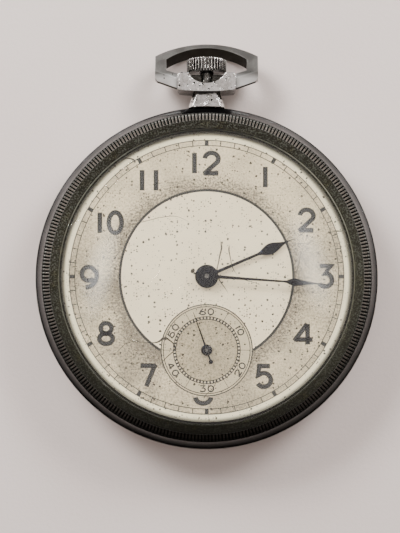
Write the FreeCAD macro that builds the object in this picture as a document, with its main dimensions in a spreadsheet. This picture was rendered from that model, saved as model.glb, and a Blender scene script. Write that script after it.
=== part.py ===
"""Open face pocket watch with small seconds at six, wound and set by its crown.

The origin is the centre of the flat of the back. +Z runs out through the dial, +Y points
to twelve o'clock and the pendant, and +X points to three o'clock. Lengths are millimetres.
"""
import FreeCAD
import Part
import Sketcher
import math
import os
import re

SIZES = (
    ("case_radius", 24.5, "widest radius of the case"),
    ("case_widest_level", 4.0, "height of the widest radius and of the winding stem"),
    ("back_flat_radius", 17.5, "radius of the flat that the watch lies on"),
    ("back_seam_radius", 24.05, "radius of the seam between back and case middle"),
    ("back_seam_level", 2.7, "height of the back's seam"),
    ("back_wall", 0.6, "wall of the back cover"),
    ("back_neck_radius", 22.2, "neck of the case middle that the back snaps over"),
    ("snap_play", 0.08, "play of the snapped back and bezel"),
    ("case_bore_radius", 21.1, "bore of the case middle round the movement"),
    ("bezel_seam_level", 5.3, "height of the bezel's seam"),
    ("bezel_seam_radius", 24.4, "radius of the bezel's seam"),
    ("bezel_neck_radius", 22.6, "neck of the case middle that the bezel snaps over"),
    ("bezel_neck_level", 6.2, "top of that neck"),
    ("reed_outer_radius", 23.4, "outer edge of the reeded ring"),
    ("reed_outer_level", 6.75, "height of the reeded ring's outer edge"),
    ("reed_inner_radius", 22.3, "inner edge of the reeded ring"),
    ("reed_inner_level", 7.45, "height of the reeded ring's inner edge"),
    ("glass_bore_radius", 21.05, "bore of the bezel round the crystal"),
    ("glass_bore_level", 7.15, "height of the bezel's inner edge"),
    ("glass_seat_level", 6.7, "ledge that the crystal stands on"),
    ("rim_underside_level", 6.38, "underside of that ledge"),
    ("sight_radius", 20.5, "opening through which the dial is seen"),
    ("glass_radius", 20.97, "radius of the crystal"),
    ("glass_shoulder_level", 7.95, "top of the crystal's upright edge"),
    ("glass_top_level", 10.2, "top of the crystal's dome"),
    ("glass_wall", 0.9, "thickness of the crystal's dome"),
    ("dial_well_radius", 21.5, "well in the case middle for the dial"),
    ("plate_ledge_level", 5.5, "ledge that the main plate's flange stands on"),
    ("flange_radius", 21.4, "flange of the main plate"),
    ("plate_radius", 20.9, "main plate"),
    ("plate_inner_level", 4.7, "face of the main plate towards the train"),
    ("dial_level", 5.9, "face of the main plate towards the dial"),
    ("dial_wall", 0.4, "thickness of the dial"),
    ("dial_radius", 21.3, "radius of the dial"),
    ("seconds_offset", 10.4, "distance from the dial's centre to the small seconds"),
    ("seconds_recess_radius", 4.1, "sunk centre of the small seconds dial"),
    ("seconds_recess_depth", 0.08, "depth of that sunk centre"),
    ("motion_floor_level", 5.05, "floor of the recess for the motion work"),
    ("keyless_floor_level", 4.98, "floor of the recess for the setting levers"),
    ("bridge_radius", 20.6, "outer radius of the bridges"),
    ("bridge_outer_level", 2.15, "face of the bridges towards the back"),
    ("bridge_inner_level", 2.85, "face of the bridges towards the train"),
    ("foot_inner_radius", 18.6, "inner radius of the bridges' feet"),
    ("wheel_wall", 0.2, "thickness of a train wheel"),
    ("jewel_radius", 0.6, "outer radius of a bearing jewel"),
    ("pivot_radius", 0.12, "radius of a train pivot"),
    ("pendant_width", 8.4, "width of the pendant's head"),
    ("pendant_head_height", 2.75, "height of the pendant's head"),
    ("pendant_depth", 4.4, "front to back depth of the pendant's head"),
    ("bow_pivot_reach", 28.0, "distance from the dial's centre to the bow's pivots"),
    ("bow_pin_radius", 0.5, "radius of the bow's pins"),
    ("bow_depth", 2.2, "front to back depth of the bow"),
    ("bow_half_width", 7.45, "half of the bow's outer width"),
    ("bow_side_width", 1.6, "width of the bow's upright sides"),
    ("bow_reach", 6.5, "reach of the bow's arch from its pivots"),
    ("bow_droop", 27.5, "angle by which the bow hangs back onto the table, degrees"),
    ("crown_radius", 2.85, "radius of the crown"),
    ("crown_height", 2.2, "height of the crown"),
    ("crown_reach", 3.86, "distance from the bow's pivots to the crown's top"),
    ("crown_ribs", 38, "number of ribs on the crown"),
    ("stem_radius", 0.6, "radius of the winding stem's shank"),
    ("stem_pull", 0.6, "travel of the crown from winding to setting"),
)

# Tooth counts and modules of the train, the motion work and the winding work.
BARREL_TEETH = 84
CENTRE_LEAVES = 12
CENTRE_TEETH = 80
THIRD_LEAVES = 10
THIRD_TEETH = 75
FOURTH_LEAVES = 10
FOURTH_TEETH = 80
ESCAPE_LEAVES = 8
ESCAPE_TEETH = 15
CANNON_LEAVES = 10
MINUTE_TEETH = 30
MINUTE_LEAVES = 8
HOUR_TEETH = 32
SETTING_TEETH = 20
INTERMEDIATE_TEETH = 42
WINDING_LEAVES = 16
CROWN_WHEEL_TEETH = 36
RATCHET_TEETH = 44
BARREL_MODULE = 0.16
CENTRE_MODULE = 0.15
TRAIN_MODULE = 0.13
FINE_MODULE = 0.10
WINDING_MODULE = 0.2

# Proportions of a tooth, in modules and in parts of the tooth spacing.
TIP_HEIGHT = 0.9
ROOT_DEPTH = 1.25
TIP_HALF_WIDTH = 0.10
ROOT_HALF_WIDTH = 0.25

RIM_DEPTH = 4.2
HUB_RADIUS = 0.95
SPOKE_WIDTH = 0.32

CLEAR = 0.05

document = FreeCAD.newDocument("pocket_watch")
sheet = document.addObject("Spreadsheet::Sheet", "dims")
nodes = []


# ---- sheet and placement -------------------------------------------------------------

def store(alias, number, meaning):
    """Writes one named plain number into the next row of the sheet."""
    row = store.rows = store.rows + 1
    sheet.set(f"A{row}", meaning)
    sheet.set(f"B{row}", repr(number))
    sheet.setAlias(f"B{row}", alias)


store.rows = 0


def value(expression):
    """Number that an expression in the sheet's own names comes to."""
    return float(sheet.evalExpression(str(expression)))


def linked(expression):
    """The same expression, written so that another object can use it."""
    return re.sub(r"[a-z]\w*", lambda word: "dims." + word.group(), str(expression))


def bind(item, sizes):
    """Binds each property in sizes to an expression in the sheet's names."""
    for name, expression in sizes.items():
        item.setExpression(name, linked(expression))
    return item


def place(item, at=("0", "0", "0"), rotation=None):
    """Puts an item at a place given by expressions, turned by a rotation."""
    spot = FreeCAD.Vector(*[value(part) for part in at])
    item.Placement = FreeCAD.Placement(spot, rotation or FreeCAD.Rotation())
    return bind(item, {f"Placement.Base.{axis}": part for axis, part in zip("xyz", at)})


def about_z(degrees):
    return FreeCAD.Rotation(FreeCAD.Vector(0, 0, 1), degrees)


def about_x(degrees):
    return FreeCAD.Rotation(FreeCAD.Vector(1, 0, 0), degrees)


ALONG_Y = about_x(-90)
ALONG_X = FreeCAD.Rotation(FreeCAD.Vector(0, 1, 0), 90)


# ---- plain solids --------------------------------------------------------------------

def disc(label, radius, low, high, at=("0", "0"), sweep="360", turn=0):
    """Upright cylinder between two heights; sweep under 360 makes a sector."""
    item = document.addObject("Part::Cylinder", label)
    bind(item, {"Radius": radius, "Height": f"({high}) - ({low})", "Angle": sweep})
    return place(item, (at[0], at[1], low), about_z(turn))


def rod(label, radius, near, far, at=("0", "0"), direction=ALONG_Y):
    """Cylinder along +Y between two distances, at a given X and Z."""
    item = document.addObject("Part::Cylinder", label)
    bind(item, {"Radius": radius, "Height": f"({far}) - ({near})"})
    return place(item, (at[0], near, at[1]), direction)


def block(label, lows, highs):
    """Box between two corners given by expressions."""
    item = document.addObject("Part::Box", label)
    spans = zip(("Length", "Width", "Height"), lows, highs)
    bind(item, {side: f"({high}) - ({low})" for side, low, high in spans})
    return place(item, lows)


def joined(label, *pieces):
    item = document.addObject("Part::MultiFuse", label)
    item.Shapes = list(pieces)
    item.Refine = True
    return item


def cut(label, base, *tools):
    """Base without each of the tools."""
    tool = tools[0] if len(tools) == 1 else joined(label + "_tools", *tools)
    item = document.addObject("Part::Cut", label)
    item.Base = base
    item.Tool = tool
    return item


def common(label, first, second):
    item = document.addObject("Part::Common", label)
    item.Base = first
    item.Tool = second
    return item


def group(label, pieces):
    """Like pieces that share one node as separate solids."""
    item = document.addObject("Part::Compound", label)
    item.Links = list(pieces)
    return item


def ring(label, outer, inner, low, high, at=("0", "0")):
    return cut(label, disc(label + "_outer", outer, low, high, at),
               disc(label + "_bore", inner, low, high, at))


def node(item):
    """Marks an item as one of the watch's pieces."""
    nodes.append(item)
    return item


# ---- sketched solids -----------------------------------------------------------------

def edge_between(start, end, bow_radius, side):
    """Line between two points, or an arc that bulges to the given side of it."""
    if not bow_radius:
        return Part.LineSegment(start, end)
    chord = end.sub(start)
    rise = bow_radius - math.sqrt(bow_radius ** 2 - chord.Length ** 2 / 4)
    across = FreeCAD.Vector(-chord.y, chord.x, 0).normalize()
    middle = start.add(chord.multiply(0.5)).add(across.multiply(side * rise))
    return Part.Arc(start, middle, end)


def pin_point(sketch, edge, end, x, y):
    """Fixes one end of an edge at expressions of the sheet."""
    for axis, kind, part, reference in ((0, "DistanceX", x, -2), (1, "DistanceY", y, -1)):
        if value(part) == 0:
            sketch.addConstraint(Sketcher.Constraint("PointOnObject", edge, end, reference))
            continue
        index = sketch.addConstraint(
            Sketcher.Constraint(kind, -1, 1, edge, end, value(part)))
        sketch.setExpression(f"Constraints[{index}]", linked(part))


def outline(body, role, corners):
    """Closed sketch; a corner is x, y and, where an arc leaves it, its radius and side."""
    sketch = body.newObject("Sketcher::SketchObject", body.Name + "_outline")
    sketch.AttachmentSupport = [(part, "") for part in body.Origin.OriginFeatures
                                if part.Role == role]
    sketch.MapMode = "FlatFace"
    points = [FreeCAD.Vector(value(corner[0]), value(corner[1]), 0) for corner in corners]
    ends = []
    for index, corner in enumerate(corners):
        start, finish = points[index], points[(index + 1) % len(points)]
        bow_radius, side = corner[2:] or ("0", 0)
        sketch.addGeometry(edge_between(start, finish, value(bow_radius), side))
        first = 1 if sketch.getPoint(index, 1).isEqual(start, 1e-6) else 2
        ends.append((first, 3 - first))
        if side:
            radius = Sketcher.Constraint("Radius", index, value(bow_radius))
            sketch.setExpression(f"Constraints[{sketch.addConstraint(radius)}]",
                                 linked(bow_radius))
    for index, corner in enumerate(corners):
        before = index - 1 if index else len(corners) - 1
        sketch.addConstraint(
            Sketcher.Constraint("Coincident", before, ends[before][1], index, ends[index][0]))
        pin_point(sketch, index, ends[index][0], corner[0], corner[1])
    return sketch


def turned(label, corners, at=("0", "0", "0"), rotation=None):
    """Body of revolution; corners are distance from the axis and height along it."""
    body = document.addObject("PartDesign::Body", label)
    sketch = outline(body, "XZ_Plane", corners)
    solid = body.newObject("PartDesign::Revolution", label + "_turned")
    solid.Profile = sketch
    solid.ReferenceAxis = (sketch, ["V_Axis"])
    solid.Angle = 360
    body.Tip = solid
    return place(body, at, rotation)


def padded(label, corners, low, high, at=("0", "0"), rotation=None):
    """Flat body between two heights from an outline in plan."""
    body = document.addObject("PartDesign::Body", label)
    sketch = outline(body, "XY_Plane", corners)
    solid = body.newObject("PartDesign::Pad", label + "_pad")
    solid.Profile = sketch
    bind(solid, {"Length": f"({high}) - ({low})"})
    body.Tip = solid
    return place(body, (at[0], at[1], low), rotation)


def mirrored(half):
    """Whole outline from its right half, which runs from the bottom to the top."""
    arcs = [corner[2:] for corner in half]
    whole = list(half)
    top_on_axis = half[-1][0] == "0"
    bottom_on_axis = half[0][0] == "0"
    if top_on_axis:
        whole[-1] = half[-1][:2] + arcs[-2]
    for index in range(len(half) - 1 - top_on_axis, -1 + bottom_on_axis, -1):
        arc = arcs[index - 1] if index else ()
        whole.append((f"-({half[index][0]})", half[index][1]) + arc)
    return whole


# ---- toothed and coiled solids -------------------------------------------------------

def teeth_face(count, module_size, first_angle):
    """Toothed outline as a flat face; one tooth points along first_angle."""
    spacing = math.tau / count
    pitch_radius = count * module_size / 2
    root = pitch_radius - ROOT_DEPTH * module_size
    tip = pitch_radius + TIP_HEIGHT * module_size
    profile = ((root, -ROOT_HALF_WIDTH), (tip, -TIP_HALF_WIDTH),
               (tip, TIP_HALF_WIDTH), (root, ROOT_HALF_WIDTH))
    corners = []
    for index in range(count):
        for radius, offset in profile:
            angle = first_angle + (index + offset) * spacing
            corners.append(FreeCAD.Vector(radius * math.cos(angle), radius * math.sin(angle), 0))
    return Part.Face(Part.makePolygon(corners + corners[:1]))


def upright(radius, low, high):
    """Cylinder shape about the local Z axis, with its sizes read from the sheet."""
    low, high = value(low), value(high)
    return Part.makeCylinder(value(radius), high - low, FreeCAD.Vector(0, 0, low))


def raised(face, low, high):
    """Flat face raised into a solid between two heights."""
    low, high = value(low), value(high)
    return face.translated(FreeCAD.Vector(0, 0, low)).extrude(FreeCAD.Vector(0, 0, high - low))


def shaped(label, shape, at=("0", "0", "0"), rotation=None):
    item = document.addObject("Part::Feature", label)
    item.Shape = shape
    return place(item, at, rotation)


def square_hole(side, low, high):
    side, low, high = value(side), value(low), value(high)
    return Part.makeBox(side, side, high - low, FreeCAD.Vector(-side / 2, -side / 2, low))


def wheel(label, count, module_size, low, high, at, first_angle, hole, spokes=0):
    """Toothed wheel with a hole, crossed out to a rim, a hub and spokes if it has any."""
    solid = raised(teeth_face(count, module_size, first_angle), low, high)
    if spokes:
        rim = count * module_size / 2 - RIM_DEPTH * module_size
        solid = solid.cut(upright(rim, low, high))
        arms = [upright(HUB_RADIUS, low, high)]
        for index in range(spokes):
            arm = Part.makeBox(rim + CLEAR, SPOKE_WIDTH, value(high) - value(low),
                               FreeCAD.Vector(0, -SPOKE_WIDTH / 2, value(low)))
            arm.rotate(FreeCAD.Vector(), FreeCAD.Vector(0, 0, 1), index * 360 / spokes)
            arms.append(arm)
        solid = solid.fuse(arms)
    return node(shaped(label, solid.cut(hole).removeSplitter(), (at[0], at[1], "0")))


def pinion(label, count, module_size, low, high, at, first_angle, steps):
    """Leaves cut in one piece with the stepped arbor that carries them."""
    solid = raised(teeth_face(count, module_size, first_angle), low, high)
    solid = solid.fuse([upright(radius, start, end) for radius, start, end in steps])
    return node(shaped(label, solid.removeSplitter(), (at[0], at[1], "0")))


def coil(label, inner_radius, pitch, half_turns, strip, low, high, at, turn=0):
    """Flat spiral strip built of half turns, whose centres alternate between two points."""
    sides = []
    for radius_step in (0, strip):
        arcs = []
        for index in range(half_turns):
            radius = inner_radius + index * pitch / 2 + radius_step
            centre = FreeCAD.Vector(pitch / 2 * (index % 2), 0, 0)
            circle = Part.Circle(centre, FreeCAD.Vector(0, 0, 1), radius)
            arcs.append(Part.Arc(circle, index % 2 * math.pi, (index % 2 + 1) * math.pi))
        sides.append([arc.toShape() for arc in arcs])
    first = [side[0].valueAt(side[0].FirstParameter) for side in sides]
    last = [side[-1].valueAt(side[-1].LastParameter) for side in sides]
    edges = sides[0] + sides[1] + [Part.makeLine(*first), Part.makeLine(*last)]
    wire = Part.Wire(Part.__sortEdges__(edges))
    solid = raised(Part.Face(wire), low, high)
    return shaped(label, solid, (at[0], at[1], "0"), about_z(turn))


def meshing_angle(count, first_angle, other_count, direction):
    """First tooth angle of the wheel that meets this one in the given direction."""
    spacing = math.tau / count
    past_tooth = ((direction - first_angle) % spacing) / spacing
    return direction + math.pi + (past_tooth + 0.5) * math.tau / other_count


# ---- where the wheels stand ------------------------------------------------------------

def mesh_distance(count, other_count, module_size):
    return (count + other_count) * module_size / 2


def polar(origin, distance, degrees):
    turn = math.radians(degrees)
    return origin.add(FreeCAD.Vector(distance * math.cos(turn), distance * math.sin(turn), 0))


def meeting_point(first, first_distance, second, second_distance):
    """Point at given distances from two others, on the right of the way between them."""
    way = second.sub(first)
    along = (first_distance ** 2 - second_distance ** 2 + way.Length ** 2) / (2 * way.Length)
    aside = math.sqrt(first_distance ** 2 - along ** 2)
    way.normalize()
    return first.add(way.multiply(along)).add(FreeCAD.Vector(way.y, -way.x, 0)
                                              .normalize().multiply(aside))


def heading(start, end):
    """Direction from one place to another, in radians."""
    return math.atan2(end.y - start.y, end.x - start.x)


def store_spot(name, spot):
    """Writes a place's X and Y to the sheet and gives the two expressions for it."""
    store(name + "_x", round(spot.x, 6), f"X of the {name}")
    store(name + "_y", round(spot.y, 6), f"Y of the {name}")
    return (name + "_x", name + "_y")


PALLET_DISTANCE = 2.9
BALANCE_DISTANCE = 9.15
ESCAPEMENT_ANGLE = 132.5
SETTING_WHEEL_Y = 11.25


def fill_sheet():
    """Writes the driving sizes, then the wheel centres that follow from the tooth counts."""
    for alias, number, meaning in SIZES:
        store(alias, number, meaning)
    document.recompute()
    spots = {"centre": FreeCAD.Vector()}
    spots["fourth"] = FreeCAD.Vector(0, -value("seconds_offset"), 0)
    spots["third"] = meeting_point(
        spots["fourth"], mesh_distance(THIRD_TEETH, FOURTH_LEAVES, TRAIN_MODULE),
        spots["centre"], mesh_distance(CENTRE_TEETH, THIRD_LEAVES, CENTRE_MODULE))
    spots["barrel"] = polar(
        spots["centre"], mesh_distance(BARREL_TEETH, CENTRE_LEAVES, BARREL_MODULE), 50)
    spots["escape"] = polar(
        spots["fourth"], mesh_distance(FOURTH_TEETH, ESCAPE_LEAVES, FINE_MODULE), 215)
    spots["pallet"] = polar(spots["escape"], PALLET_DISTANCE, ESCAPEMENT_ANGLE)
    spots["balance"] = polar(spots["escape"], BALANCE_DISTANCE, ESCAPEMENT_ANGLE)
    spots["minute"] = polar(
        spots["centre"], mesh_distance(CANNON_LEAVES, MINUTE_TEETH, TRAIN_MODULE), 100)
    spots["setting"] = FreeCAD.Vector(0, SETTING_WHEEL_Y, 0)
    spots["intermediate"] = meeting_point(
        spots["minute"], mesh_distance(MINUTE_TEETH, INTERMEDIATE_TEETH, TRAIN_MODULE),
        spots["setting"], mesh_distance(INTERMEDIATE_TEETH, SETTING_TEETH, TRAIN_MODULE))
    winding_distance = mesh_distance(CROWN_WHEEL_TEETH, RATCHET_TEETH, WINDING_MODULE)
    barrel = spots["barrel"]
    spots["crown_wheel"] = FreeCAD.Vector(
        0, barrel.y + math.sqrt(winding_distance ** 2 - barrel.x ** 2), 0)
    store("ratchet_spacing", winding_distance, "distance from ratchet wheel to crown wheel")
    return spots, {name: store_spot(name, spot) for name, spot in spots.items()}


SPOT, AT = fill_sheet()
document.recompute()

COCK_ANGLE = math.degrees(math.atan2(SPOT["balance"].y, SPOT["balance"].x))
ROOT_TUBE_RADIUS = "1.05"
PENDANT_BORE_RADIUS = "0.7"
NECK_TOP = "bow_pivot_reach - 1.2"
HEAD_BOTTOM = "(bow_pivot_reach - 1.35)"
ARM_START = "(pendant_width / 2 + 0.06)"
ARM_LOW = "-0.8"
ARM_CORNER = ("bow_half_width - 0.3", "0.45")
POST_RADIUS = "0.35"
CLICK_AT = ("barrel_x + 6.0", "barrel_y + 1.4")
BALANCE_SCREWS = 14
COVER_LOW = "5.68"
LEVER_LOW = "keyless_floor_level + 0.02"
LEVER_HIGH = "keyless_floor_level + 0.22"
SETTING_LEVER_AT = ("2.9", "18.65")
YOKE_AT = ("-4.2", "14.05")
HOUR_HAND_TURN = -66.7
MINUTE_HAND_TURN = -94.0
SECONDS_HAND_TURN = 19.5


# ---- case ------------------------------------------------------------------------------

def case_middle():
    body = turned("case_middle_ring", [
        ("case_bore_radius", "3.0"),
        ("case_bore_radius + 0.4", "back_seam_level"),
        ("case_bore_radius + 0.5", "2.0"),
        ("back_neck_radius", "2.0"),
        ("back_neck_radius", "back_seam_level"),
        ("back_seam_radius", "back_seam_level", "3.2", -1),
        ("case_radius", "case_widest_level", "4.5", -1),
        ("bezel_seam_radius", "bezel_seam_level"),
        ("bezel_neck_radius", "bezel_seam_level"),
        ("bezel_neck_radius", "bezel_neck_level"),
        ("dial_well_radius", "bezel_neck_level"),
        ("dial_well_radius", "plate_ledge_level"),
        ("case_bore_radius", "plate_ledge_level"),
    ])
    hole = rod("case_stem_hole", ROOT_TUBE_RADIUS, "case_bore_radius - 0.3",
               "case_radius + 0.3", ("0", "case_widest_level"))
    return node(cut("case_middle", body, hole))


def back_cover():
    rebate = "back_neck_radius + snap_play"
    run = "(back_seam_radius - back_flat_radius)"
    return node(turned("back_cover", [
        ("0", "0"),
        ("back_flat_radius", "0", f"({run}^2 + back_seam_level^2) / (2 * back_seam_level)", -1),
        ("back_seam_radius", "back_seam_level"),
        (rebate, "back_seam_level"),
        (rebate, "1.9"),
        ("case_bore_radius + 0.3", "1.5"),
        ("back_flat_radius - 0.2", "back_wall"),
        ("0", "back_wall"),
    ]))


def bezel():
    rebate = "bezel_neck_radius + snap_play"
    return node(turned("bezel", [
        (rebate, "bezel_seam_level"),
        ("bezel_seam_radius", "bezel_seam_level", "2.6", -1),
        ("reed_outer_radius", "reed_outer_level"),
        ("reed_inner_radius", "reed_inner_level"),
        ("glass_bore_radius", "glass_bore_level"),
        ("glass_bore_radius", "glass_seat_level"),
        ("sight_radius", "glass_seat_level"),
        ("sight_radius", "rim_underside_level"),
        (rebate, "rim_underside_level"),
    ]))


def crystal():
    outer_rise = "(glass_top_level - glass_shoulder_level)"
    inner_radius = "(glass_radius - 0.45)"
    inner_rise = "(glass_top_level - glass_wall - glass_shoulder_level + 0.7)"
    return node(turned("crystal", [
        (inner_radius, "glass_seat_level"),
        ("glass_radius", "glass_seat_level"),
        ("glass_radius", "glass_shoulder_level",
         f"(glass_radius^2 + {outer_rise}^2) / (2 * {outer_rise})", -1),
        ("0", "glass_top_level"),
        ("0", "glass_top_level - glass_wall",
         f"({inner_radius}^2 + {inner_rise}^2) / (2 * {inner_rise})", 1),
        (inner_radius, "glass_shoulder_level - 0.7"),
    ]))


def neck_section(y, half_width, half_depth):
    """Rectangle across the pendant's neck, with its corners cut off."""
    chamfer = 0.55
    ring_points = [(half_width, half_depth - chamfer), (half_width - chamfer, half_depth)]
    ring_points += [(-x, z) for x, z in reversed(ring_points)]
    ring_points += [(-x, -z) for x, z in ring_points]
    corners = [FreeCAD.Vector(x, y, z) for x, z in ring_points]
    return Part.makePolygon(corners + corners[:1])


def pendant():
    head_top = f"({HEAD_BOTTOM} + pendant_head_height)"
    shoulder = "0.75"
    web_half_width = "3.1"
    web_half_depth = "0.5"
    neck_foot = (2.7, 1.9)
    neck_head = (1.85, 1.5)
    head = padded("pendant_head", mirrored([
        ("0", HEAD_BOTTOM, "30", -1),
        ("pendant_width / 2 - 0.25", f"{HEAD_BOTTOM} + 0.2"),
        ("pendant_width / 2", f"{HEAD_BOTTOM} + 0.5"),
        ("pendant_width / 2", f"{head_top} - {shoulder}", shoulder, -1),
        ("pendant_width / 2 - 0.65", head_top),
        ("pendant_width / 2 - 1.37", head_top, "3.36", 1),
        ("0", f"{head_top} - 1.55"),
    ]), "case_widest_level - pendant_depth / 2", "case_widest_level + pendant_depth / 2")
    web = block("pendant_web",
                (f"0 - {web_half_width}", f"{HEAD_BOTTOM} + 0.7", f"case_widest_level - {web_half_depth}"),
                (web_half_width, f"{head_top} - 0.12", f"case_widest_level + {web_half_depth}"))
    neck = shaped("pendant_neck", Part.makeLoft([
        neck_section(value("case_radius - 0.5"), *neck_foot),
        neck_section(value(NECK_TOP), *neck_head),
    ], True, True), ("0", "0", "case_widest_level"))
    saddle = cut("pendant_saddle", neck,
                 disc("pendant_saddle_tool", "case_radius + 0.02", "0", "2 * case_widest_level"))
    axis = ("0", "case_widest_level")
    root = rod("pendant_root", ROOT_TUBE_RADIUS, "case_bore_radius + 0.1",
               f"{NECK_TOP} - 0.6", axis)
    tube = rod("pendant_tube", "0.95", f"{head_top} - 1.7", f"{head_top} + 0.2", axis)
    bore = rod("pendant_bore", PENDANT_BORE_RADIUS, "case_bore_radius - 1",
               "case_radius + 8", axis)
    holes = [document.addObject("Part::Cylinder", f"pendant_pin_hole_{side}")
             for side in ("right", "left")]
    for hole, side in zip(holes, (1, -1)):
        bind(hole, {"Radius": "bow_pin_radius + 0.05", "Height": "1.0"})
        place(hole, (f"{side} * pendant_width / 2 - {(side + 1) // 2}", "bow_pivot_reach",
                     "case_widest_level"), ALONG_X)
    return node(cut("pendant", joined("pendant_solid", head, web, saddle, root, tube), bore,
                    *holes))


def arm_facets():
    """Prisms that cut slanting facets off the lower edges of the bow's two arms."""
    wide, deep, spare = 1.0, 0.9, 0.4
    lead_in, length = 0.3, 4.2
    start = FreeCAD.Vector(value(ARM_START), value(ARM_LOW), 0)
    along = (FreeCAD.Vector(value(ARM_CORNER[0]), value(ARM_CORNER[1]), 0) - start).normalize()
    inward = FreeCAD.Vector(-along.y, along.x, 0)
    level = value("bow_depth / 2")
    slope = deep / wide
    section = ((-spare, level - deep - spare * slope), (wide + spare, level + spare * slope),
               (-spare, level + spare * slope))
    corners = [start - along * lead_in + inward * across + FreeCAD.Vector(0, 0, height)
               for across, height in section]
    prism = Part.Face(Part.makePolygon(corners + corners[:1])).extrude(along * length)
    pair = [prism, prism.mirror(FreeCAD.Vector(), FreeCAD.Vector(0, 0, 1))]
    pair += [item.mirror(FreeCAD.Vector(), FreeCAD.Vector(1, 0, 0)) for item in pair]
    return [shaped(f"bow_facet_{index}", item) for index, item in enumerate(pair)]


def bow():
    inner = "(bow_half_width - bow_side_width)"
    rise = "2.1"
    loop = padded("bow_loop", mirrored([
        ("0", "bow_reach - 0.7", f"({inner}^2 + {rise}^2) / (2 * {rise})", 1),
        (inner, f"bow_reach - 0.7 - {rise}"),
        (inner, "1.75"),
        (ARM_START, "1.16"),
        (ARM_START, ARM_LOW),
        ARM_CORNER,
        ("bow_half_width", "0.9"),
        ("bow_half_width", "bow_reach - 2.2", f"(bow_half_width^2 + 2.2^2) / (2 * 2.2)", -1),
        ("0", "bow_reach"),
    ]), "-bow_depth / 2", "bow_depth / 2")
    loop = cut("bow_loop_faceted", loop, *arm_facets())
    pins = []
    for name, side in (("right", 1), ("left", -1)):
        pin = document.addObject("Part::Cylinder", f"bow_pin_{name}")
        bind(pin, {"Radius": "bow_pin_radius", "Height": "1.2"})
        start = f"{ARM_START} - 0.9" if side > 0 else f"-{ARM_START} - 0.3"
        pins.append(place(pin, (start, "0", "0"), ALONG_X))
    whole = joined("bow", loop, *pins)
    return node(place(whole, ("0", "bow_pivot_reach", "case_widest_level"),
                      about_x(-value("bow_droop"))))


def crown():
    start = "bow_pivot_reach + crown_reach - crown_height"
    mouth_radius = "1.1"
    mouth_depth = "0.45"
    socket_end = "crown_height - 0.85"
    profile = turned("crown_profile", [
        (mouth_radius, "0"),
        ("crown_radius - 0.2", "0"),
        ("crown_radius", "0.2"),
        ("crown_radius", "crown_height - 0.4", "(crown_radius^2 + 0.4^2) / (2 * 0.4)", -1),
        ("0", "crown_height"),
        ("0", socket_end),
        ("stem_radius", socket_end),
        ("stem_radius", mouth_depth),
        (mouth_radius, mouth_depth),
    ])
    count = int(value("crown_ribs"))
    module_size = 2 * value("crown_radius") / (count + 2 * TIP_HEIGHT)
    ribs = shaped("crown_ribs", raised(teeth_face(count, module_size, 0), "-1", "4"))
    whole = common("crown", profile, ribs)
    return node(place(whole, ("0", start, "case_widest_level"), ALONG_Y))


# ---- winding and setting -----------------------------------------------------------------

STEM_STEPS = (
    ("0.3", "11.4", "12.4"),
    ("0.42", "12.4", "17.6"),
    ("0.75", "17.6", "18.0"),
    ("0.45", "18.0", "18.7"),
    ("0.75", "18.7", "20.0"),
    ("stem_radius", "20.0", "bow_pivot_reach + crown_reach - 0.85"),
)


def winding_stem():
    axis = ("0", "case_widest_level")
    rods = [rod(f"stem_step_{index}", radius, near, far, axis)
            for index, (radius, near, far) in enumerate(STEM_STEPS)]
    square = block("stem_square", ("-0.42", "12.4", "case_widest_level - 0.42"),
                   ("0.42", "14.8", "case_widest_level + 0.42"))
    return node(joined("winding_stem", square, *rods))


def winding_pinion():
    solid = raised(teeth_face(WINDING_LEAVES, WINDING_MODULE, 0), "0", "0.8")
    solid = solid.fuse(upright("1.35", "0", "1.8")).cut(upright("0.46", "0", "1.8"))
    return node(shaped("winding_pinion", solid.removeSplitter(),
                       ("0", "15.7", "case_widest_level"), ALONG_Y))


def sliding_pinion():
    solid = raised(teeth_face(14, 0.14, 0), "0", "0.75")
    solid = solid.fuse([upright("0.75", "0", "2.1"), upright("1.1", "1.35", "2.1")])
    solid = solid.cut(square_hole("0.9", "0", "2.1"))
    return node(shaped("sliding_pinion", solid.removeSplitter(),
                       ("0", "13.3", "case_widest_level"), ALONG_Y))


def setting_lever():
    x, y = SETTING_LEVER_AT
    arm = padded("setting_lever_arm", [
        ("-0.2", "18.1"), ("2.7", "18.0"), ("3.5", "16.9"), ("4.1", "17.2"),
        ("3.6", "19.0"), ("2.6", "19.3"), ("-0.2", "18.6"),
    ], LEVER_LOW, LEVER_HIGH)
    nib = disc("setting_lever_nib", "0.22", "4.5", LEVER_HIGH, ("0", "18.35"))
    hole = disc("setting_lever_hole", "0.37", LEVER_LOW, LEVER_HIGH, (x, y))
    return node(cut("setting_lever", joined("setting_lever_solid", arm, nib), hole))


def yoke():
    x, y = YOKE_AT
    arm = padded("yoke_arm", [
        ("0.25", "14.2"), ("0.25", "14.5"), ("-3.4", "14.6"), ("-4.3", "15.9"),
        ("-4.9", "15.8"), ("-4.9", "13.5"), ("-3.6", "13.4"),
    ], LEVER_LOW, LEVER_HIGH)
    nib = block("yoke_nib", ("-0.25", "14.2", "4.8"), ("0.25", "14.5", LEVER_HIGH))
    hole = disc("yoke_hole", "0.37", LEVER_LOW, LEVER_HIGH, (x, y))
    return node(cut("yoke", joined("yoke_solid", arm, nib), hole))


def yoke_spring():
    foot = disc("yoke_spring_foot", "0.6", LEVER_LOW, LEVER_HIGH, ("-5.6", "12.3"))
    blade = block("yoke_spring_blade", ("-5.75", "12.4", LEVER_LOW), ("-5.45", "15.4", LEVER_HIGH))
    return node(joined("yoke_spring", foot, blade))


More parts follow.
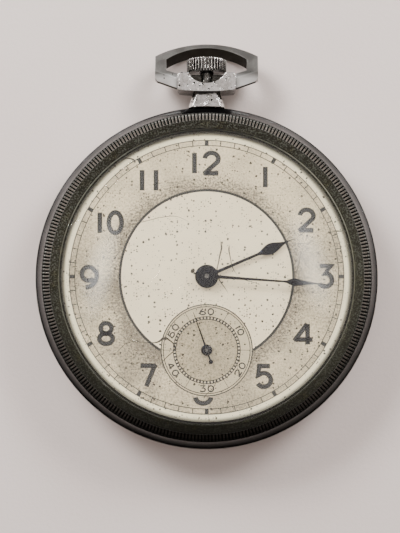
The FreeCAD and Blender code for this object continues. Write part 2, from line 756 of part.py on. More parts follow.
def motion_wheels():
    """Setting, intermediate and minute wheels, cannon pinion and hour wheel."""
    low, high = "5.12", "5.32"
    cannon_angle = 0.0
    to_minute = heading(SPOT["centre"], SPOT["minute"])
    minute_angle = meshing_angle(CANNON_LEAVES, cannon_angle, MINUTE_TEETH, to_minute)
    to_middle = heading(SPOT["minute"], SPOT["intermediate"])
    middle_angle = meshing_angle(MINUTE_TEETH, minute_angle, INTERMEDIATE_TEETH, to_middle)
    to_setting = heading(SPOT["intermediate"], SPOT["setting"])
    setting_angle = meshing_angle(INTERMEDIATE_TEETH, middle_angle, SETTING_TEETH, to_setting)
    hour_angle = meshing_angle(MINUTE_LEAVES, 0.0, HOUR_TEETH,
                               heading(SPOT["minute"], SPOT["centre"]))
    post = f"{POST_RADIUS} + 0.02"
    wheel("setting_wheel", SETTING_TEETH, TRAIN_MODULE, low, high, AT["setting"],
          setting_angle, upright(post, low, high))
    wheel("intermediate_wheel", INTERMEDIATE_TEETH, TRAIN_MODULE, low, high,
          AT["intermediate"], middle_angle, upright(post, low, high))
    minute = raised(teeth_face(MINUTE_TEETH, TRAIN_MODULE, minute_angle), low, high)
    leaves = raised(teeth_face(MINUTE_LEAVES, TRAIN_MODULE, 0.0), high, "5.62")
    minute = minute.fuse(leaves).cut(upright(post, low, "5.62"))
    node(shaped("minute_wheel", minute, (*AT["minute"], "0")))
    cannon = raised(teeth_face(CANNON_LEAVES, TRAIN_MODULE, cannon_angle), low, high)
    cannon = cannon.fuse(upright("0.62", high, "7.55")).cut(upright("0.33", low, "7.55"))
    node(shaped("cannon_pinion", cannon, (*AT["centre"], "0")))
    hour = raised(teeth_face(HOUR_TEETH, TRAIN_MODULE, hour_angle), "5.38", "5.62")
    hour = hour.fuse(upright("1.0", "5.38", "6.95")).cut(upright("0.66", "5.38", "6.95"))
    node(shaped("hour_wheel", hour, (*AT["centre"], "0")))


def winding_wheels():
    """Crown wheel, ratchet wheel and their screws on the barrel bridge."""
    low, high = "bridge_outer_level - 0.3", "bridge_outer_level - 0.05"
    to_crown = heading(SPOT["barrel"], SPOT["crown_wheel"])
    crown_angle = meshing_angle(RATCHET_TEETH, 0.0, CROWN_WHEEL_TEETH, to_crown)
    wheel("ratchet_wheel", RATCHET_TEETH, WINDING_MODULE, low, high, AT["barrel"], 0.0,
          square_hole("1.1", low, high))
    wheel("crown_wheel", CROWN_WHEEL_TEETH, WINDING_MODULE, low, high, AT["crown_wheel"],
          crown_angle, upright("1.02", low, high))
    seat = "bridge_outer_level - 0.35"
    node(screw("ratchet_screw", AT["barrel"], "1.3", "0.3", f"{seat} - 0.3", seat,
               "bridge_inner_level"))
    node(screw("crown_wheel_screw", AT["crown_wheel"], "1.6", "0.5", f"{seat} - 0.3", seat,
               "bridge_outer_level + 0.4"))


def screw(label, at, head_radius, shank_radius, head_low, seat, tip):
    """Slotted screw with its head towards the back."""
    head = disc(label + "_head", head_radius, head_low, seat, at)
    shank = disc(label + "_shank", shank_radius, seat, tip, at)
    slot = block(label + "_slot", (f"{at[0]} - {head_radius}", f"{at[1]} - 0.08", head_low),
                 (f"{at[0]} + {head_radius}", f"{at[1]} + 0.08", f"{head_low} + 0.12"))
    return cut(label, joined(label + "_solid", head, shank), slot)


def click_work():
    """Click that holds the ratchet wheel, and the wire spring that presses it."""
    low, high = "bridge_outer_level - 0.28", "bridge_outer_level - 0.05"
    body = padded("click_body", [
        ("barrel_x + 4.72", "barrel_y + 0.1"), ("barrel_x + 5.3", "barrel_y - 0.35"),
        ("barrel_x + 6.9", "barrel_y + 1.2"), ("barrel_x + 6.5", "barrel_y + 2.3"),
        ("barrel_x + 5.5", "barrel_y + 2.2"),
    ], low, high)
    hole = disc("click_hole", "0.32", low, high, CLICK_AT)
    node(cut("click", body, hole))
    foot = disc("click_spring_foot", "0.6", low, high, ("barrel_x + 8.6", "barrel_y - 1.8"))
    blade = block("click_spring_blade", ("barrel_x + 7.15", "barrel_y - 1.9", low),
                  ("barrel_x + 8.5", "barrel_y - 1.7", high))
    finger = block("click_spring_finger", ("barrel_x + 7.15", "barrel_y - 1.9", low),
                   ("barrel_x + 7.35", "barrel_y + 2.2", high))
    node(joined("click_spring", foot, blade, finger))


# ---- barrel and train ----------------------------------------------------------------------

def barrel_parts():
    low, high = "3.5", "4.6"
    facing = heading(SPOT["barrel"], SPOT["centre"])
    drum = raised(teeth_face(BARREL_TEETH, BARREL_MODULE, facing), "4.2", high)
    drum = drum.fuse(upright("6.3", low, high))
    drum = drum.cut([upright("5.9", low, "4.4"), upright("0.8", low, high)])
    node(shaped("barrel_drum", drum.removeSplitter(), (*AT["barrel"], "0")))
    node(ring("barrel_cover", "6.3", "0.8", "3.3", low, AT["barrel"]))
    core = disc("barrel_arbor_core", "1.6", "3.55", "4.35", AT["barrel"])
    shaft = disc("barrel_arbor_shaft", "0.75", "bridge_inner_level - 0.7", "5.0", AT["barrel"])
    square = block("barrel_arbor_square",
                   ("barrel_x - 0.55", "barrel_y - 0.55", "bridge_outer_level - 0.35"),
                   ("barrel_x + 0.55", "barrel_y + 0.55", "bridge_inner_level"))
    hole = disc("barrel_arbor_hole", "0.3", "bridge_outer_level - 0.35", "bridge_inner_level",
                AT["barrel"])
    node(cut("barrel_arbor", joined("barrel_arbor_solid", core, shaft, square), hole))
    node(coil("mainspring", 1.75, 0.5, 15, 0.18, "3.6", "4.3", AT["barrel"]))


def train():
    """Four wheels, each riveted to its own pinion, between bridges and plate."""
    first = "bridge_inner_level + 0.1"
    first_top = f"{first} + wheel_wall"
    top_pivot = ("pivot_radius", "bridge_outer_level + 0.1", first)
    plate_pivot = ("pivot_radius", "4.6", "5.0")
    facing = heading(SPOT["centre"], SPOT["barrel"])
    centre_angle = meshing_angle(BARREL_TEETH, facing + math.pi, CENTRE_LEAVES, facing + math.pi)
    pinion("centre_pinion", CENTRE_LEAVES, BARREL_MODULE, "3.5", "4.62", AT["centre"],
           centre_angle, (("0.3", "bridge_outer_level", "7.6"), ("0.45", first, "5.05")))
    wheel("centre_wheel", CENTRE_TEETH, CENTRE_MODULE, first, first_top, AT["centre"], 0.0,
          upright("0.45", first, first_top), 5)
    to_third = heading(SPOT["centre"], SPOT["third"])
    third_angle = meshing_angle(CENTRE_TEETH, 0.0, THIRD_LEAVES, to_third)
    pinion("third_pinion", THIRD_LEAVES, CENTRE_MODULE, "2.9", "3.6", AT["third"], third_angle,
           (("0.4", "2.9", "4.6"), top_pivot, plate_pivot))
    wheel("third_wheel", THIRD_TEETH, TRAIN_MODULE, "4.35", "4.55", AT["third"], 0.0,
          upright("0.4", "4.35", "4.55"), 5)
    to_fourth = heading(SPOT["third"], SPOT["fourth"])
    fourth_angle = meshing_angle(THIRD_TEETH, 0.0, FOURTH_LEAVES, to_fourth)
    pinion("fourth_pinion", FOURTH_LEAVES, TRAIN_MODULE, "4.1", "4.62", AT["fourth"],
           fourth_angle, (("0.35", "2.9", "4.1"), top_pivot, ("0.2", "4.6", "6.66")))
    wheel("fourth_wheel", FOURTH_TEETH, FINE_MODULE, first, first_top, AT["fourth"], 0.0,
          upright("0.35", first, first_top), 5)
    to_escape = heading(SPOT["fourth"], SPOT["escape"])
    escape_angle = meshing_angle(FOURTH_TEETH, 0.0, ESCAPE_LEAVES, to_escape)
    pinion("escape_pinion", ESCAPE_LEAVES, FINE_MODULE, "2.9", "3.6", AT["escape"],
           escape_angle, (("0.25", "3.6", "4.6"), top_pivot, plate_pivot))


ESCAPE_RADIUS = 2.05


def escape_wheel():
    """Fifteen pointed teeth that lean the way the wheel turns."""
    spacing = math.tau / ESCAPE_TEETH
    corners = []
    for index in range(ESCAPE_TEETH):
        for radius, offset in ((1.45, 0.0), (ESCAPE_RADIUS, 0.42), (ESCAPE_RADIUS, 0.5),
                               (1.45, 0.3)):
            angle = (index + offset) * spacing
            corners.append(FreeCAD.Vector(radius * math.cos(angle), radius * math.sin(angle), 0))
    solid = raised(Part.Face(Part.makePolygon(corners + corners[:1])), "4.0", "4.2")
    solid = solid.cut(upright("1.2", "4.0", "4.2"))
    arms = [upright("0.55", "4.0", "4.2")]
    for index in range(4):
        arm = Part.makeBox(1.25, 0.2, 0.2, FreeCAD.Vector(0, -0.1, 4.0))
        arm.rotate(FreeCAD.Vector(), FreeCAD.Vector(0, 0, 1), 90 * index)
        arms.append(arm)
    solid = solid.fuse(arms).cut(upright("0.25", "4.0", "4.2"))
    return node(shaped("escape_wheel", solid.removeSplitter(), (*AT["escape"], "0")))


def pallet_fork():
    """Lever with its horns towards the balance; local X runs that way."""
    towards_balance = about_z(ESCAPEMENT_ANGLE)
    low, high = "4.0", "4.2"
    stones = []
    for side in (1, -1):
        tip = FreeCAD.Vector(-1.05, side * 1.55, 3.98)
        stone = Part.makeBox(0.55, 0.24, 0.24, FreeCAD.Vector(-0.25, -0.12, 0))
        aim = math.atan2(-tip.y, -PALLET_DISTANCE - tip.x)
        stone.rotate(FreeCAD.Vector(), FreeCAD.Vector(0, 0, 1), math.degrees(aim))
        stones.append(stone.translated(tip))
    stones = node(shaped("pallet_stones", Part.makeCompound(stones),
                         (*AT["pallet"], "0"), towards_balance))
    body = padded("pallet_lever", mirrored_across([
        ("-0.7", "0"), ("-0.75", "0.7"), ("-1.25", "1.35"), ("-0.85", "1.75"),
        ("0.15", "0.8"), ("1.0", "0.2"), ("3.9", "0.16"), ("4.2", "0.6"), ("4.7", "0.62"),
        ("4.7", "0.34"), ("4.35", "0.28"), ("4.35", "0"),
    ]), low, high, AT["pallet"], towards_balance)
    arbor = disc("pallet_arbor", "0.22", "3.95", "4.6", AT["pallet"])
    pivots = disc("pallet_pivots", "pivot_radius", "3.75", "4.9", AT["pallet"])
    return node(cut("pallet_fork", joined("pallet_solid", body, arbor, pivots), stones))


def mirrored_across(half):
    """Whole outline from its left half, which runs from the tail to the horns."""
    right = [(x, f"-({y})") for x, y in reversed(half) if y != "0"]
    return half + right


def balance():
    low, high = "3.25", "3.6"
    rim = ring("balance_rim", "6.3", "5.6", low, high, AT["balance"])
    hub = disc("balance_hub", "1.0", low, high, AT["balance"])
    arm = block("balance_arm", ("balance_x - 5.8", "balance_y - 0.35", low),
                ("balance_x + 5.8", "balance_y + 0.35", high))
    hole = disc("balance_hole", "0.5", low, high, AT["balance"])
    node(cut("balance_wheel", joined("balance_solid", rim, hub, arm), hole))
    screws = []
    for index in range(BALANCE_SCREWS):
        turn = (index + 0.5) * 360 / BALANCE_SCREWS
        item = Part.makeCylinder(0.22, 0.35, FreeCAD.Vector(6.3, 0, 3.425),
                                 FreeCAD.Vector(1, 0, 0))
        item.rotate(FreeCAD.Vector(), FreeCAD.Vector(0, 0, 1), turn)
        screws.append(item)
    node(shaped("balance_screws", Part.makeCompound(screws), (*AT["balance"], "0")))
    steps = (("0.12", "2.35", "2.9"), ("0.5", "2.9", "3.65"), ("1.9", "3.65", "3.85"),
             ("0.35", "3.85", "4.6"), ("0.12", "4.6", "5.0"))
    node(joined("balance_staff", *[disc(f"staff_step_{index}", radius, start, end, AT["balance"])
                                   for index, (radius, start, end) in enumerate(steps)]))
    jewel_turn = math.radians(ESCAPEMENT_ANGLE)
    spot = (f"balance_x + {1.55 * math.cos(jewel_turn):.4f}",
            f"balance_y + {1.55 * math.sin(jewel_turn):.4f}")
    node(disc("roller_jewel", "0.22", "3.85", "4.22", spot))
    node(coil("hairspring", 0.62, 0.42, 11, 0.06, "2.95", "3.1", AT["balance"]))


# ---- plate and bridges -----------------------------------------------------------------------

SCREW_SPOTS = {
    "barrel_bridge": ((19.6, 25), (19.6, 55), (19.6, 125), (19.6, 160)),
    "train_bridge": ((19.6, 275), (19.6, 310)),
    "balance_cock": ((19.6, COCK_ANGLE),),
}
CASE_SCREW_SPOTS = ((19.9, 188), (19.9, 352))
DIAL_FOOT_ANGLES = (35, 165, 285)


def spot_at(radius, degrees):
    spot = polar(FreeCAD.Vector(), radius, degrees)
    return (f"{spot.x:.4f}", f"{spot.y:.4f}")


def sector(label, outer, inner, low, high, start, sweep):
    """Part of an upright ring."""
    whole = disc(label + "_outer", outer, low, high, sweep=str(sweep), turn=start)
    return cut(label, whole, disc(label + "_bore", inner, low, high))


def foot(label, start, sweep):
    return sector(label, "bridge_radius", "foot_inner_radius", "bridge_inner_level",
                  "plate_inner_level", start, sweep)


def screw_holes(name):
    return [disc(f"{name}_screw_hole_{index}", "0.4", "bridge_outer_level - 1",
                 "plate_inner_level + 0.6", spot_at(*spot))
            for index, spot in enumerate(SCREW_SPOTS[name])]


def jewel_holes(name, wheels, low, high):
    return [disc(f"{name}_{wheel_name}_hole", "jewel_radius", low, high, AT[wheel_name])
            for wheel_name in wheels]


def bridge_plate(label, region):
    """Part of a flat disc between the bridges' two faces."""
    whole = disc(label + "_disc", "bridge_radius", "bridge_outer_level", "bridge_inner_level")
    return common(label + "_plate", whole, region)


def barrel_bridge():
    region = block("barrel_bridge_region", ("-22", "1.7", "bridge_outer_level"),
                   ("22", "22", "bridge_inner_level"))
    plate = bridge_plate("barrel_bridge", region)
    post = disc("crown_wheel_post", "1.0", "bridge_outer_level - 0.35",
                "bridge_outer_level", AT["crown_wheel"])
    click_post = disc("click_post", "0.3", "bridge_outer_level - 0.3", "bridge_outer_level",
                      CLICK_AT)
    window = block("pinion_window", ("-2", "15.5", "bridge_outer_level - 1"),
                   ("2", "17.7", "bridge_inner_level + 1"))
    low, high = "bridge_outer_level - 1", "bridge_inner_level + 0.1"
    arbor_hole = disc("barrel_arbor_bearing", "0.8", low, high, AT["barrel"])
    screw_hole = disc("crown_wheel_screw_hole", "0.5", low, "bridge_outer_level + 0.4",
                      AT["crown_wheel"])
    body = joined("barrel_bridge_solid", plate, post, click_post,
                  foot("barrel_foot_right", 15, 47), foot("barrel_foot_left", 118, 50))
    return node(cut("barrel_bridge", body, window, arbor_hole, screw_hole,
                    *screw_holes("barrel_bridge")))


def train_bridge():
    region = padded("train_bridge_region", [
        ("-2.2", "1.2"), ("-2.2", "-6.0"), ("-5.0", "-10.5"), ("-6.2", "-14.8"),
        ("-1.5", "-21.0"), ("9.0", "-21.0"), ("17.0", "-13.0"), ("9.0", "-6.0"), ("6.5", "1.2"),
    ], "bridge_outer_level", "bridge_inner_level")
    body = joined("train_bridge_solid", bridge_plate("train_bridge", region),
                  foot("train_foot", 268, 50))
    low, high = "bridge_outer_level - 0.1", "bridge_inner_level + 0.1"
    holes = jewel_holes("train_bridge", ("third", "fourth", "escape"), low, high)
    centre = disc("centre_bearing", "0.32", low, high)
    return node(cut("train_bridge", body, centre, *holes, *screw_holes("train_bridge")))


def balance_cock():
    reach = math.hypot(SPOT["balance"].x, SPOT["balance"].y)
    arm = padded("cock_arm", [
        (str(round(reach, 4)), "-2.2"), ("21.5", "-3.6"), ("21.5", "3.6"),
        (str(round(reach, 4)), "2.2"),
    ], "bridge_outer_level", "bridge_inner_level", rotation=about_z(COCK_ANGLE))
    end = disc("cock_end", "2.2", "bridge_outer_level", "bridge_inner_level", AT["balance"])
    region = joined("cock_region", arm, end)
    body = joined("balance_cock_solid", bridge_plate("balance_cock", region),
                  foot("cock_foot", COCK_ANGLE - 11, 22))
    hole = jewel_holes("cock", ("balance",), "bridge_outer_level - 0.1", "bridge_inner_level + 0.1")
    return node(cut("balance_cock", body, *hole, *screw_holes("balance_cock")))


def pallet_cock():
    low, high = "3.68", "3.9"
    across = about_z(ESCAPEMENT_ANGLE - 90)
    bar = padded("pallet_cock_bar", [
        ("-3.7", "-0.75"), ("3.7", "-0.75"), ("3.7", "0.75"), ("-3.7", "0.75"),
    ], low, high, AT["pallet"], across)
    feet = []
    for name, side in (("near", 1), ("far", -1)):
        spot = polar(SPOT["pallet"], side * 3.0, ESCAPEMENT_ANGLE - 90)
        feet.append(disc(f"pallet_cock_foot_{name}", "0.7", high, "plate_inner_level",
                         (f"{spot.x:.4f}", f"{spot.y:.4f}")))
    hole = disc("pallet_cock_hole", "0.16", low, high, AT["pallet"])
    return node(cut("pallet_cock", joined("pallet_cock_solid", bar, *feet), hole))


def main_plate():
    low, top = "plate_inner_level", "dial_level"
    floor = "motion_floor_level"
    plate = disc("plate_disc", "plate_radius", low, top)
    flange = disc("plate_flange", "flange_radius", "plate_ledge_level", top)
    pillars = [disc(f"case_screw_pillar_{index}", "0.95", "bridge_inner_level", low, spot_at(*spot))
               for index, spot in enumerate(CASE_SCREW_SPOTS)]
    pilot_boss = block("pilot_boss", ("-0.7", "11.5", "case_widest_level - 0.6"),
                       ("0.7", "12.1", low))
    stem_boss = block("stem_boss", ("-1.4", "19.6", "bridge_inner_level"), ("1.4", "20.5", low))
    banks = []
    for name, side in (("near", 1), ("far", -1)):
        along = polar(SPOT["pallet"], 3.2, ESCAPEMENT_ANGLE)
        spot = polar(along, side * 0.66, ESCAPEMENT_ANGLE - 90)
        banks.append(disc(f"banking_pin_{name}", "0.12", "4.0", low,
                          (f"{spot.x:.4f}", f"{spot.y:.4f}")))
    body = joined("plate_body", plate, flange, pilot_boss, stem_boss, *pillars, *banks)
    axis = ("0", "case_widest_level")
    tools = [
        rod("plate_stem_hole", "0.8", "18.5", "21.5", axis),
        rod("plate_pilot_hole", "0.35", "11.0", "12.3", axis),
        block("plate_pinion_slot", ("-2.05", "12.4", "4.0"), ("2.05", "19.3", "6.5")),
        block("plate_keyless_recess", ("-6.6", "11.4", "keyless_floor_level"),
              ("5.2", "19.6", "6.5")),
        disc("plate_centre_hole", "0.5", "4.0", "6.5"),
        disc("plate_barrel_bearing", "0.77", "4.0", "5.02", AT["barrel"]),
        disc("plate_fourth_hole", "jewel_radius", "4.0", "6.5", AT["fourth"]),
    ]
    tools += jewel_holes("plate", ("third", "escape", "pallet", "balance"), "4.0", "5.1")
    for name, radius in (("centre", "2.5"), ("minute", "2.35"), ("intermediate", "3.1"),
                         ("setting", "1.75")):
        tools.append(disc(f"plate_{name}_recess", radius, floor, "6.5", AT[name]))
    tools.append(block("plate_cover_recess", ("-3.6", "4.4", COVER_LOW), ("4.1", "12.4", "6.5")))
    for name in SCREW_SPOTS:
        tools += [disc(f"plate_{name}_tap_{index}", "0.4", "4.0", "5.3", spot_at(*spot))
                  for index, spot in enumerate(SCREW_SPOTS[name])]
    tools += [disc(f"plate_case_tap_{index}", "0.5", "2.0", "5.3", spot_at(*spot))
              for index, spot in enumerate(CASE_SCREW_SPOTS)]
    tools += [disc(f"plate_dial_foot_hole_{angle}", "0.42", "4.95", "6.5", spot_at(18.6, angle))
              for angle in DIAL_FOOT_ANGLES]
    tools += [dial_screw_rod(f"plate_dial_screw_hole_{angle}", angle)
              for angle in DIAL_FOOT_ANGLES]
    bored = cut("plate_bored", body, *tools)
    posts = [disc(f"{name}_post", POST_RADIUS, floor, "5.6", AT[name])
             for name in ("minute", "intermediate", "setting")]
    posts += [disc(f"lever_post_{index}", POST_RADIUS, "keyless_floor_level", "5.4", spot)
              for index, spot in enumerate((SETTING_LEVER_AT, YOKE_AT))]
    return node(joined("main_plate", bored, *posts))


def dial_screw_rod(label, angle):
    """Cylinder that points at a dial foot from the edge of the plate."""
    item = document.addObject("Part::Cylinder", label)
    bind(item, {"Radius": "0.35", "Height": "plate_radius - 19.05"})
    spot = spot_at(19.05, angle)
    sideways = FreeCAD.Rotation(FreeCAD.Vector(0, 0, 1), FreeCAD.Vector(
        math.cos(math.radians(angle)), math.sin(math.radians(angle)), 0))
    return place(item, (*spot, "5.25"), sideways)


def minute_work_cover():
    high = "dial_level - 0.03"
    plate = block("cover_plate", ("-3.5", "4.5", COVER_LOW), ("4.0", "12.3", high))
    return node(cut("minute_work_cover", plate,
                    disc("cover_hole", "0.8", COVER_LOW, high, AT["intermediate"])))


def regulator():
    low, high = "bridge_outer_level - 0.25", "bridge_outer_level - 0.02"
    collar = disc("regulator_collar", "1.3", low, high, AT["balance"])
    arm = padded("regulator_arm", [
        ("0.5", "-0.5"), ("4.6", "-0.14"), ("4.6", "0.14"), ("0.5", "0.5"),
    ], low, high, AT["balance"], about_z(COCK_ANGLE + 180))
    hole = disc("regulator_hole", "0.75", low, high, AT["balance"])
    return node(cut("regulator", joined("regulator_solid", collar, arm), hole))


def jewel(label, name, hole_radius, low, high, outer="jewel_radius"):
    return ring(label, outer, hole_radius, low, high, AT[name])


def jewels_and_screws():
    low, high = "bridge_outer_level + 0.2", "bridge_inner_level"
    clear_pivot = "pivot_radius + 0.03"
    node(group("bridge_jewels", [jewel(f"bridge_jewel_{name}", name, clear_pivot, low, high)
                                 for name in ("third", "fourth", "escape")]))
    node(jewel("cock_jewel", "balance", clear_pivot, low, high))
    plate = [jewel(f"plate_jewel_{name}", name, clear_pivot, "plate_inner_level", "5.1")
             for name in ("third", "escape", "pallet", "balance")]
    plate.append(jewel("plate_jewel_fourth", "fourth", "0.23", "plate_inner_level", "5.1"))
    node(group("plate_jewels", plate))
    screws = []
    for name, spots in SCREW_SPOTS.items():
        for index, spot in enumerate(spots):
            screws.append(screw(f"{name}_screw_{index}", spot_at(*spot), "0.85", "0.38",
                                "bridge_outer_level - 0.4", "bridge_outer_level", "5.25"))
    node(group("bridge_screws", screws))
    node(group("case_screws", [
        screw(f"case_screw_{index}", spot_at(*spot), "1.45", "0.48",
              "bridge_inner_level - 0.4", "bridge_inner_level", "5.25")
        for index, spot in enumerate(CASE_SCREW_SPOTS)]))
    node(group("dial_screws", [dial_screw_rod(f"dial_screw_{angle}", angle)
                               for angle in DIAL_FOOT_ANGLES]))


# ---- dial and hands ----------------------------------------------------------------------------

DIAL_TOP = "dial_level + dial_wall"


def dial():
    plate = disc("dial_plate", "dial_radius", "dial_level", DIAL_TOP)
    feet = [disc(f"dial_foot_{angle}", "0.4", "5.0", "dial_level", spot_at(18.6, angle))
            for angle in DIAL_FOOT_ANGLES]
    recess = disc("seconds_recess", "seconds_recess_radius",
                  f"{DIAL_TOP} - seconds_recess_depth", f"{DIAL_TOP} + 0.1", AT["fourth"])
    centre = disc("dial_centre_hole", "1.15", "dial_level - 0.1", f"{DIAL_TOP} + 0.1")
    seconds = disc("dial_seconds_hole", "0.4", "dial_level - 0.1", f"{DIAL_TOP} + 0.1",
                   AT["fourth"])
    return node(cut("dial", joined("dial_solid", plate, *feet), recess, centre, seconds))


def hour_hand():
    low, high = "6.74", "6.92"
    blade = padded("hour_blade", mirrored([
        ("0.185", "0.9"),
        ("0.185", "8.3", "1.9", -1),
        ("0.8", "9.75", "2.4", -1),
        ("0.2", "11.9"),
        ("0.06", "13.5"),
    ]), low, high, rotation=about_z(HOUR_HAND_TURN))
    boss = disc("hour_boss", "1.65", low, "6.98")
    bore = disc("hour_bore", "1.0", low, "6.98")
    return node(cut("hour_hand", joined("hour_hand_solid", blade, boss), bore))


def minute_hand():
    low, high = "7.28", "7.44"
    blade = padded("minute_blade", mirrored([
        ("0.3", "0.6"),
        ("0.19", "11.2", "2.2", -1),
        ("0.55", "12.3", "6", -1),
        ("0.16", "15.3"),
        ("0.06", "18.7"),
    ]), low, high, rotation=about_z(MINUTE_HAND_TURN))
    boss = disc("minute_boss", "1.35", low, "7.5")
    bore = disc("minute_bore", "0.62", low, "7.5")
    return node(cut("minute_hand", joined("minute_hand_solid", blade, boss), bore))


def seconds_hand():
    low, high = "6.5", "6.6"
    blade = padded("seconds_blade", mirrored([
        ("0.16", "-1.5"), ("0.16", "0.3"), ("0.045", "5.7"),
    ]), low, high, AT["fourth"], about_z(SECONDS_HAND_TURN))
    boss = disc("seconds_boss", "0.8", low, "6.66", AT["fourth"])
    tail = polar(SPOT["fourth"], -1.65, 90 + SECONDS_HAND_TURN)
    ball = disc("seconds_tail", "0.32", low, high, (f"{tail.x:.4f}", f"{tail.y:.4f}"))
    bore = disc("seconds_bore", "0.2", low, "6.66", AT["fourth"])
    return node(cut("seconds_hand", joined("seconds_solid", blade, boss, ball), bore))


# ---- the whole watch ---------------------------------------------------------------------------

def build():
    for piece in (case_middle, back_cover, bezel, crystal, pendant, bow, crown, winding_stem,
                  winding_pinion, sliding_pinion, setting_lever, yoke, yoke_spring,
                  motion_wheels, winding_wheels, click_work, barrel_parts, train,
                  escape_wheel, pallet_fork, balance, barrel_bridge, train_bridge, balance_cock,
                  pallet_cock, main_plate, minute_work_cover, regulator,
                  jewels_and_screws, dial, hour_hand, minute_hand, seconds_hand):
        piece()
    document.recompute()


def check():
    """Stops the run if any object failed or any piece has no sound shape."""
    for item in document.Objects:
        if "Invalid" in item.State or "Error" in item.State:
            raise RuntimeError(f"{item.Label} did not recompute: {item.State}")
    for item in nodes:
        if item.Shape.isNull() or not item.Shape.isValid() or not item.Shape.Solids:
            raise RuntimeError(f"{item.Label} has no sound shape")


def export():
    os.makedirs("parts", exist_ok=True)
    for item in nodes:
        item.Shape.exportStep(f"parts/{item.Label}.step")
        print(f"{item.Label}: {len(item.Shape.Solids)} solids, {item.Shape.Volume:.3f} mm3")


build()
check()
export()
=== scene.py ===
"""Finish and setting of an open face pocket watch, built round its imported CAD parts.

Every length is in metres, in the CAD frame: +Z out through the dial, +Y to twelve o'clock.
"""

import math

import bmesh
import bpy
from mathutils import Matrix, Vector


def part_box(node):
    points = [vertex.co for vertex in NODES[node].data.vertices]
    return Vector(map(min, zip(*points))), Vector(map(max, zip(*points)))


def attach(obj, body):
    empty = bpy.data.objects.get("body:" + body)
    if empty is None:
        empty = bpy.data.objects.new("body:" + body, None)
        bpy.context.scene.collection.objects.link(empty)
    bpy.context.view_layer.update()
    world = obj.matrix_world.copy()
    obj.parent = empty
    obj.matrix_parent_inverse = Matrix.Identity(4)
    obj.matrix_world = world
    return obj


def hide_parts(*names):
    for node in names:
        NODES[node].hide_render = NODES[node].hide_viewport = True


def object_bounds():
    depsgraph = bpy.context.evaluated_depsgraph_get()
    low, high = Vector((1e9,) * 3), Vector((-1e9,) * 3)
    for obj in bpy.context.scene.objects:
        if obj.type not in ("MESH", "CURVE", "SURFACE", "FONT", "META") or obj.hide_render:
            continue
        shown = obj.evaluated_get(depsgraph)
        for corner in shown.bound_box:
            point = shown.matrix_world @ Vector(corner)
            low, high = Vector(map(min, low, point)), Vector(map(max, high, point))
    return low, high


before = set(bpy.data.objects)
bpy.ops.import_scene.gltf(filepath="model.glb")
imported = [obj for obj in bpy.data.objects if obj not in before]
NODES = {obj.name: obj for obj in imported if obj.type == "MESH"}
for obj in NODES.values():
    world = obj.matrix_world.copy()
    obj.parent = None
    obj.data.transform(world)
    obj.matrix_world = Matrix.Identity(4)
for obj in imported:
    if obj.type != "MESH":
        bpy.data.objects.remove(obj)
cad_bounds = [list(corner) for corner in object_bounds()]

bl_info = {
    "name": "Open face pocket watch",
    "version": (1, 0, 0),
    "blender": (4, 5, 0),
    "location": "View3D > Sidebar > Pocket Watch",
    "description": "Finishes a pocket watch: case, crystal, dial print, hands and movement",
    "category": "Object",
}

MM = 0.001


# ---- sizes and colours that a user may change ------------------------------------------

def linear(hex_colour):
    """Linear colour of an sRGB hex value, with alpha."""
    parts = [int(hex_colour[i:i + 2], 16) / 255 for i in (1, 3, 5)]
    return [p / 12.92 if p <= 0.04045 else ((p + 0.055) / 1.055) ** 2.4 for p in parts] + [1]


def length(name, description, millimetres):
    return bpy.props.FloatProperty(name=name, description=description, unit="LENGTH",
                                   subtype="DISTANCE", default=millimetres * MM, precision=6)


def tint(name, description, hex_colour):
    return bpy.props.FloatVectorProperty(name=name, description=description, subtype="COLOR",
                                         size=4, min=0, max=1, default=linear(hex_colour))


class WatchSizes(bpy.types.PropertyGroup):
    """Sizes that a user may change."""
    reed_count: bpy.props.IntProperty(
        name="Reeds", description="Number of reeds round the bezel", default=296, min=24)
    reed_depth: length("Reed depth", "Depth of the grooves between the reeds", 0.2)
    numeral_height: length("Numeral height", "Height of an hour numeral", 3.6)
    numeral_stroke: length("Numeral stroke", "Width of an hour numeral's stroke", 0.68)
    track_outer: length("Minute track, outside", "Outer circle of the minute track", 19.41)
    track_inner: length("Minute track, inside", "Inner circle of the minute track", 18.67)
    dial_circle: length("Dial circle", "Circle between dial centre and hour ring", 12.27)
    seconds_border: length("Seconds border", "Outer circle of the small seconds dial", 6.43)
    ink_height: length("Ink height", "Height of the printed ink above the dial", 0.012)
    edge_round: length("Edge rounding", "Worn rounding of the fittings' edges", 0.12)


class WatchColours(bpy.types.PropertyGroup):
    """Colours that a user may change."""
    nickel: tint("Nickel", "Nickel plate of the case", "#8f8b85")
    # Also the colour of the painted shade in the fittings' hollows and on their faces turned down.
    tarnish: tint("Tarnish", "Dark tarnish and dirt in the hollows", "#2e2c26")
    brass_wear: tint("Brass wear", "Brass showing where the plate is worn", "#5c573f")
    chrome: tint("Chrome", "Plate of the pendant, bow and crown", "#e9e7e4")
    silvering: tint("Silvering", "Silvered centre of the dial", "#e6d6bb")
    hour_ring: tint("Hour ring", "Hour ring of the dial", "#d8c7aa")
    patina: tint("Patina", "Brown patina on the hour ring", "#72685a")
    margin: tint("Margin", "Pale margin under the bezel", "#eadfc4")
    ink: tint("Ink", "Printed numerals and tracks", "#1b1b1d")
    blued_steel: tint("Blued steel", "Hands", "#171922")
    gilding: tint("Gilding", "Gilt brass wheels", "#c9a55a")
    steel: tint("Steel", "Steel parts of the movement", "#9c9a97")
    ruby: tint("Ruby", "Jewels", "#b0123a")
    paper: tint("Paper", "Paper that the watch lies on", "#e0d2cb")


def sizes():
    return bpy.context.scene.watch_sizes


def colours():
    return bpy.context.scene.watch_colours


# ---- shaders ---------------------------------------------------------------------------

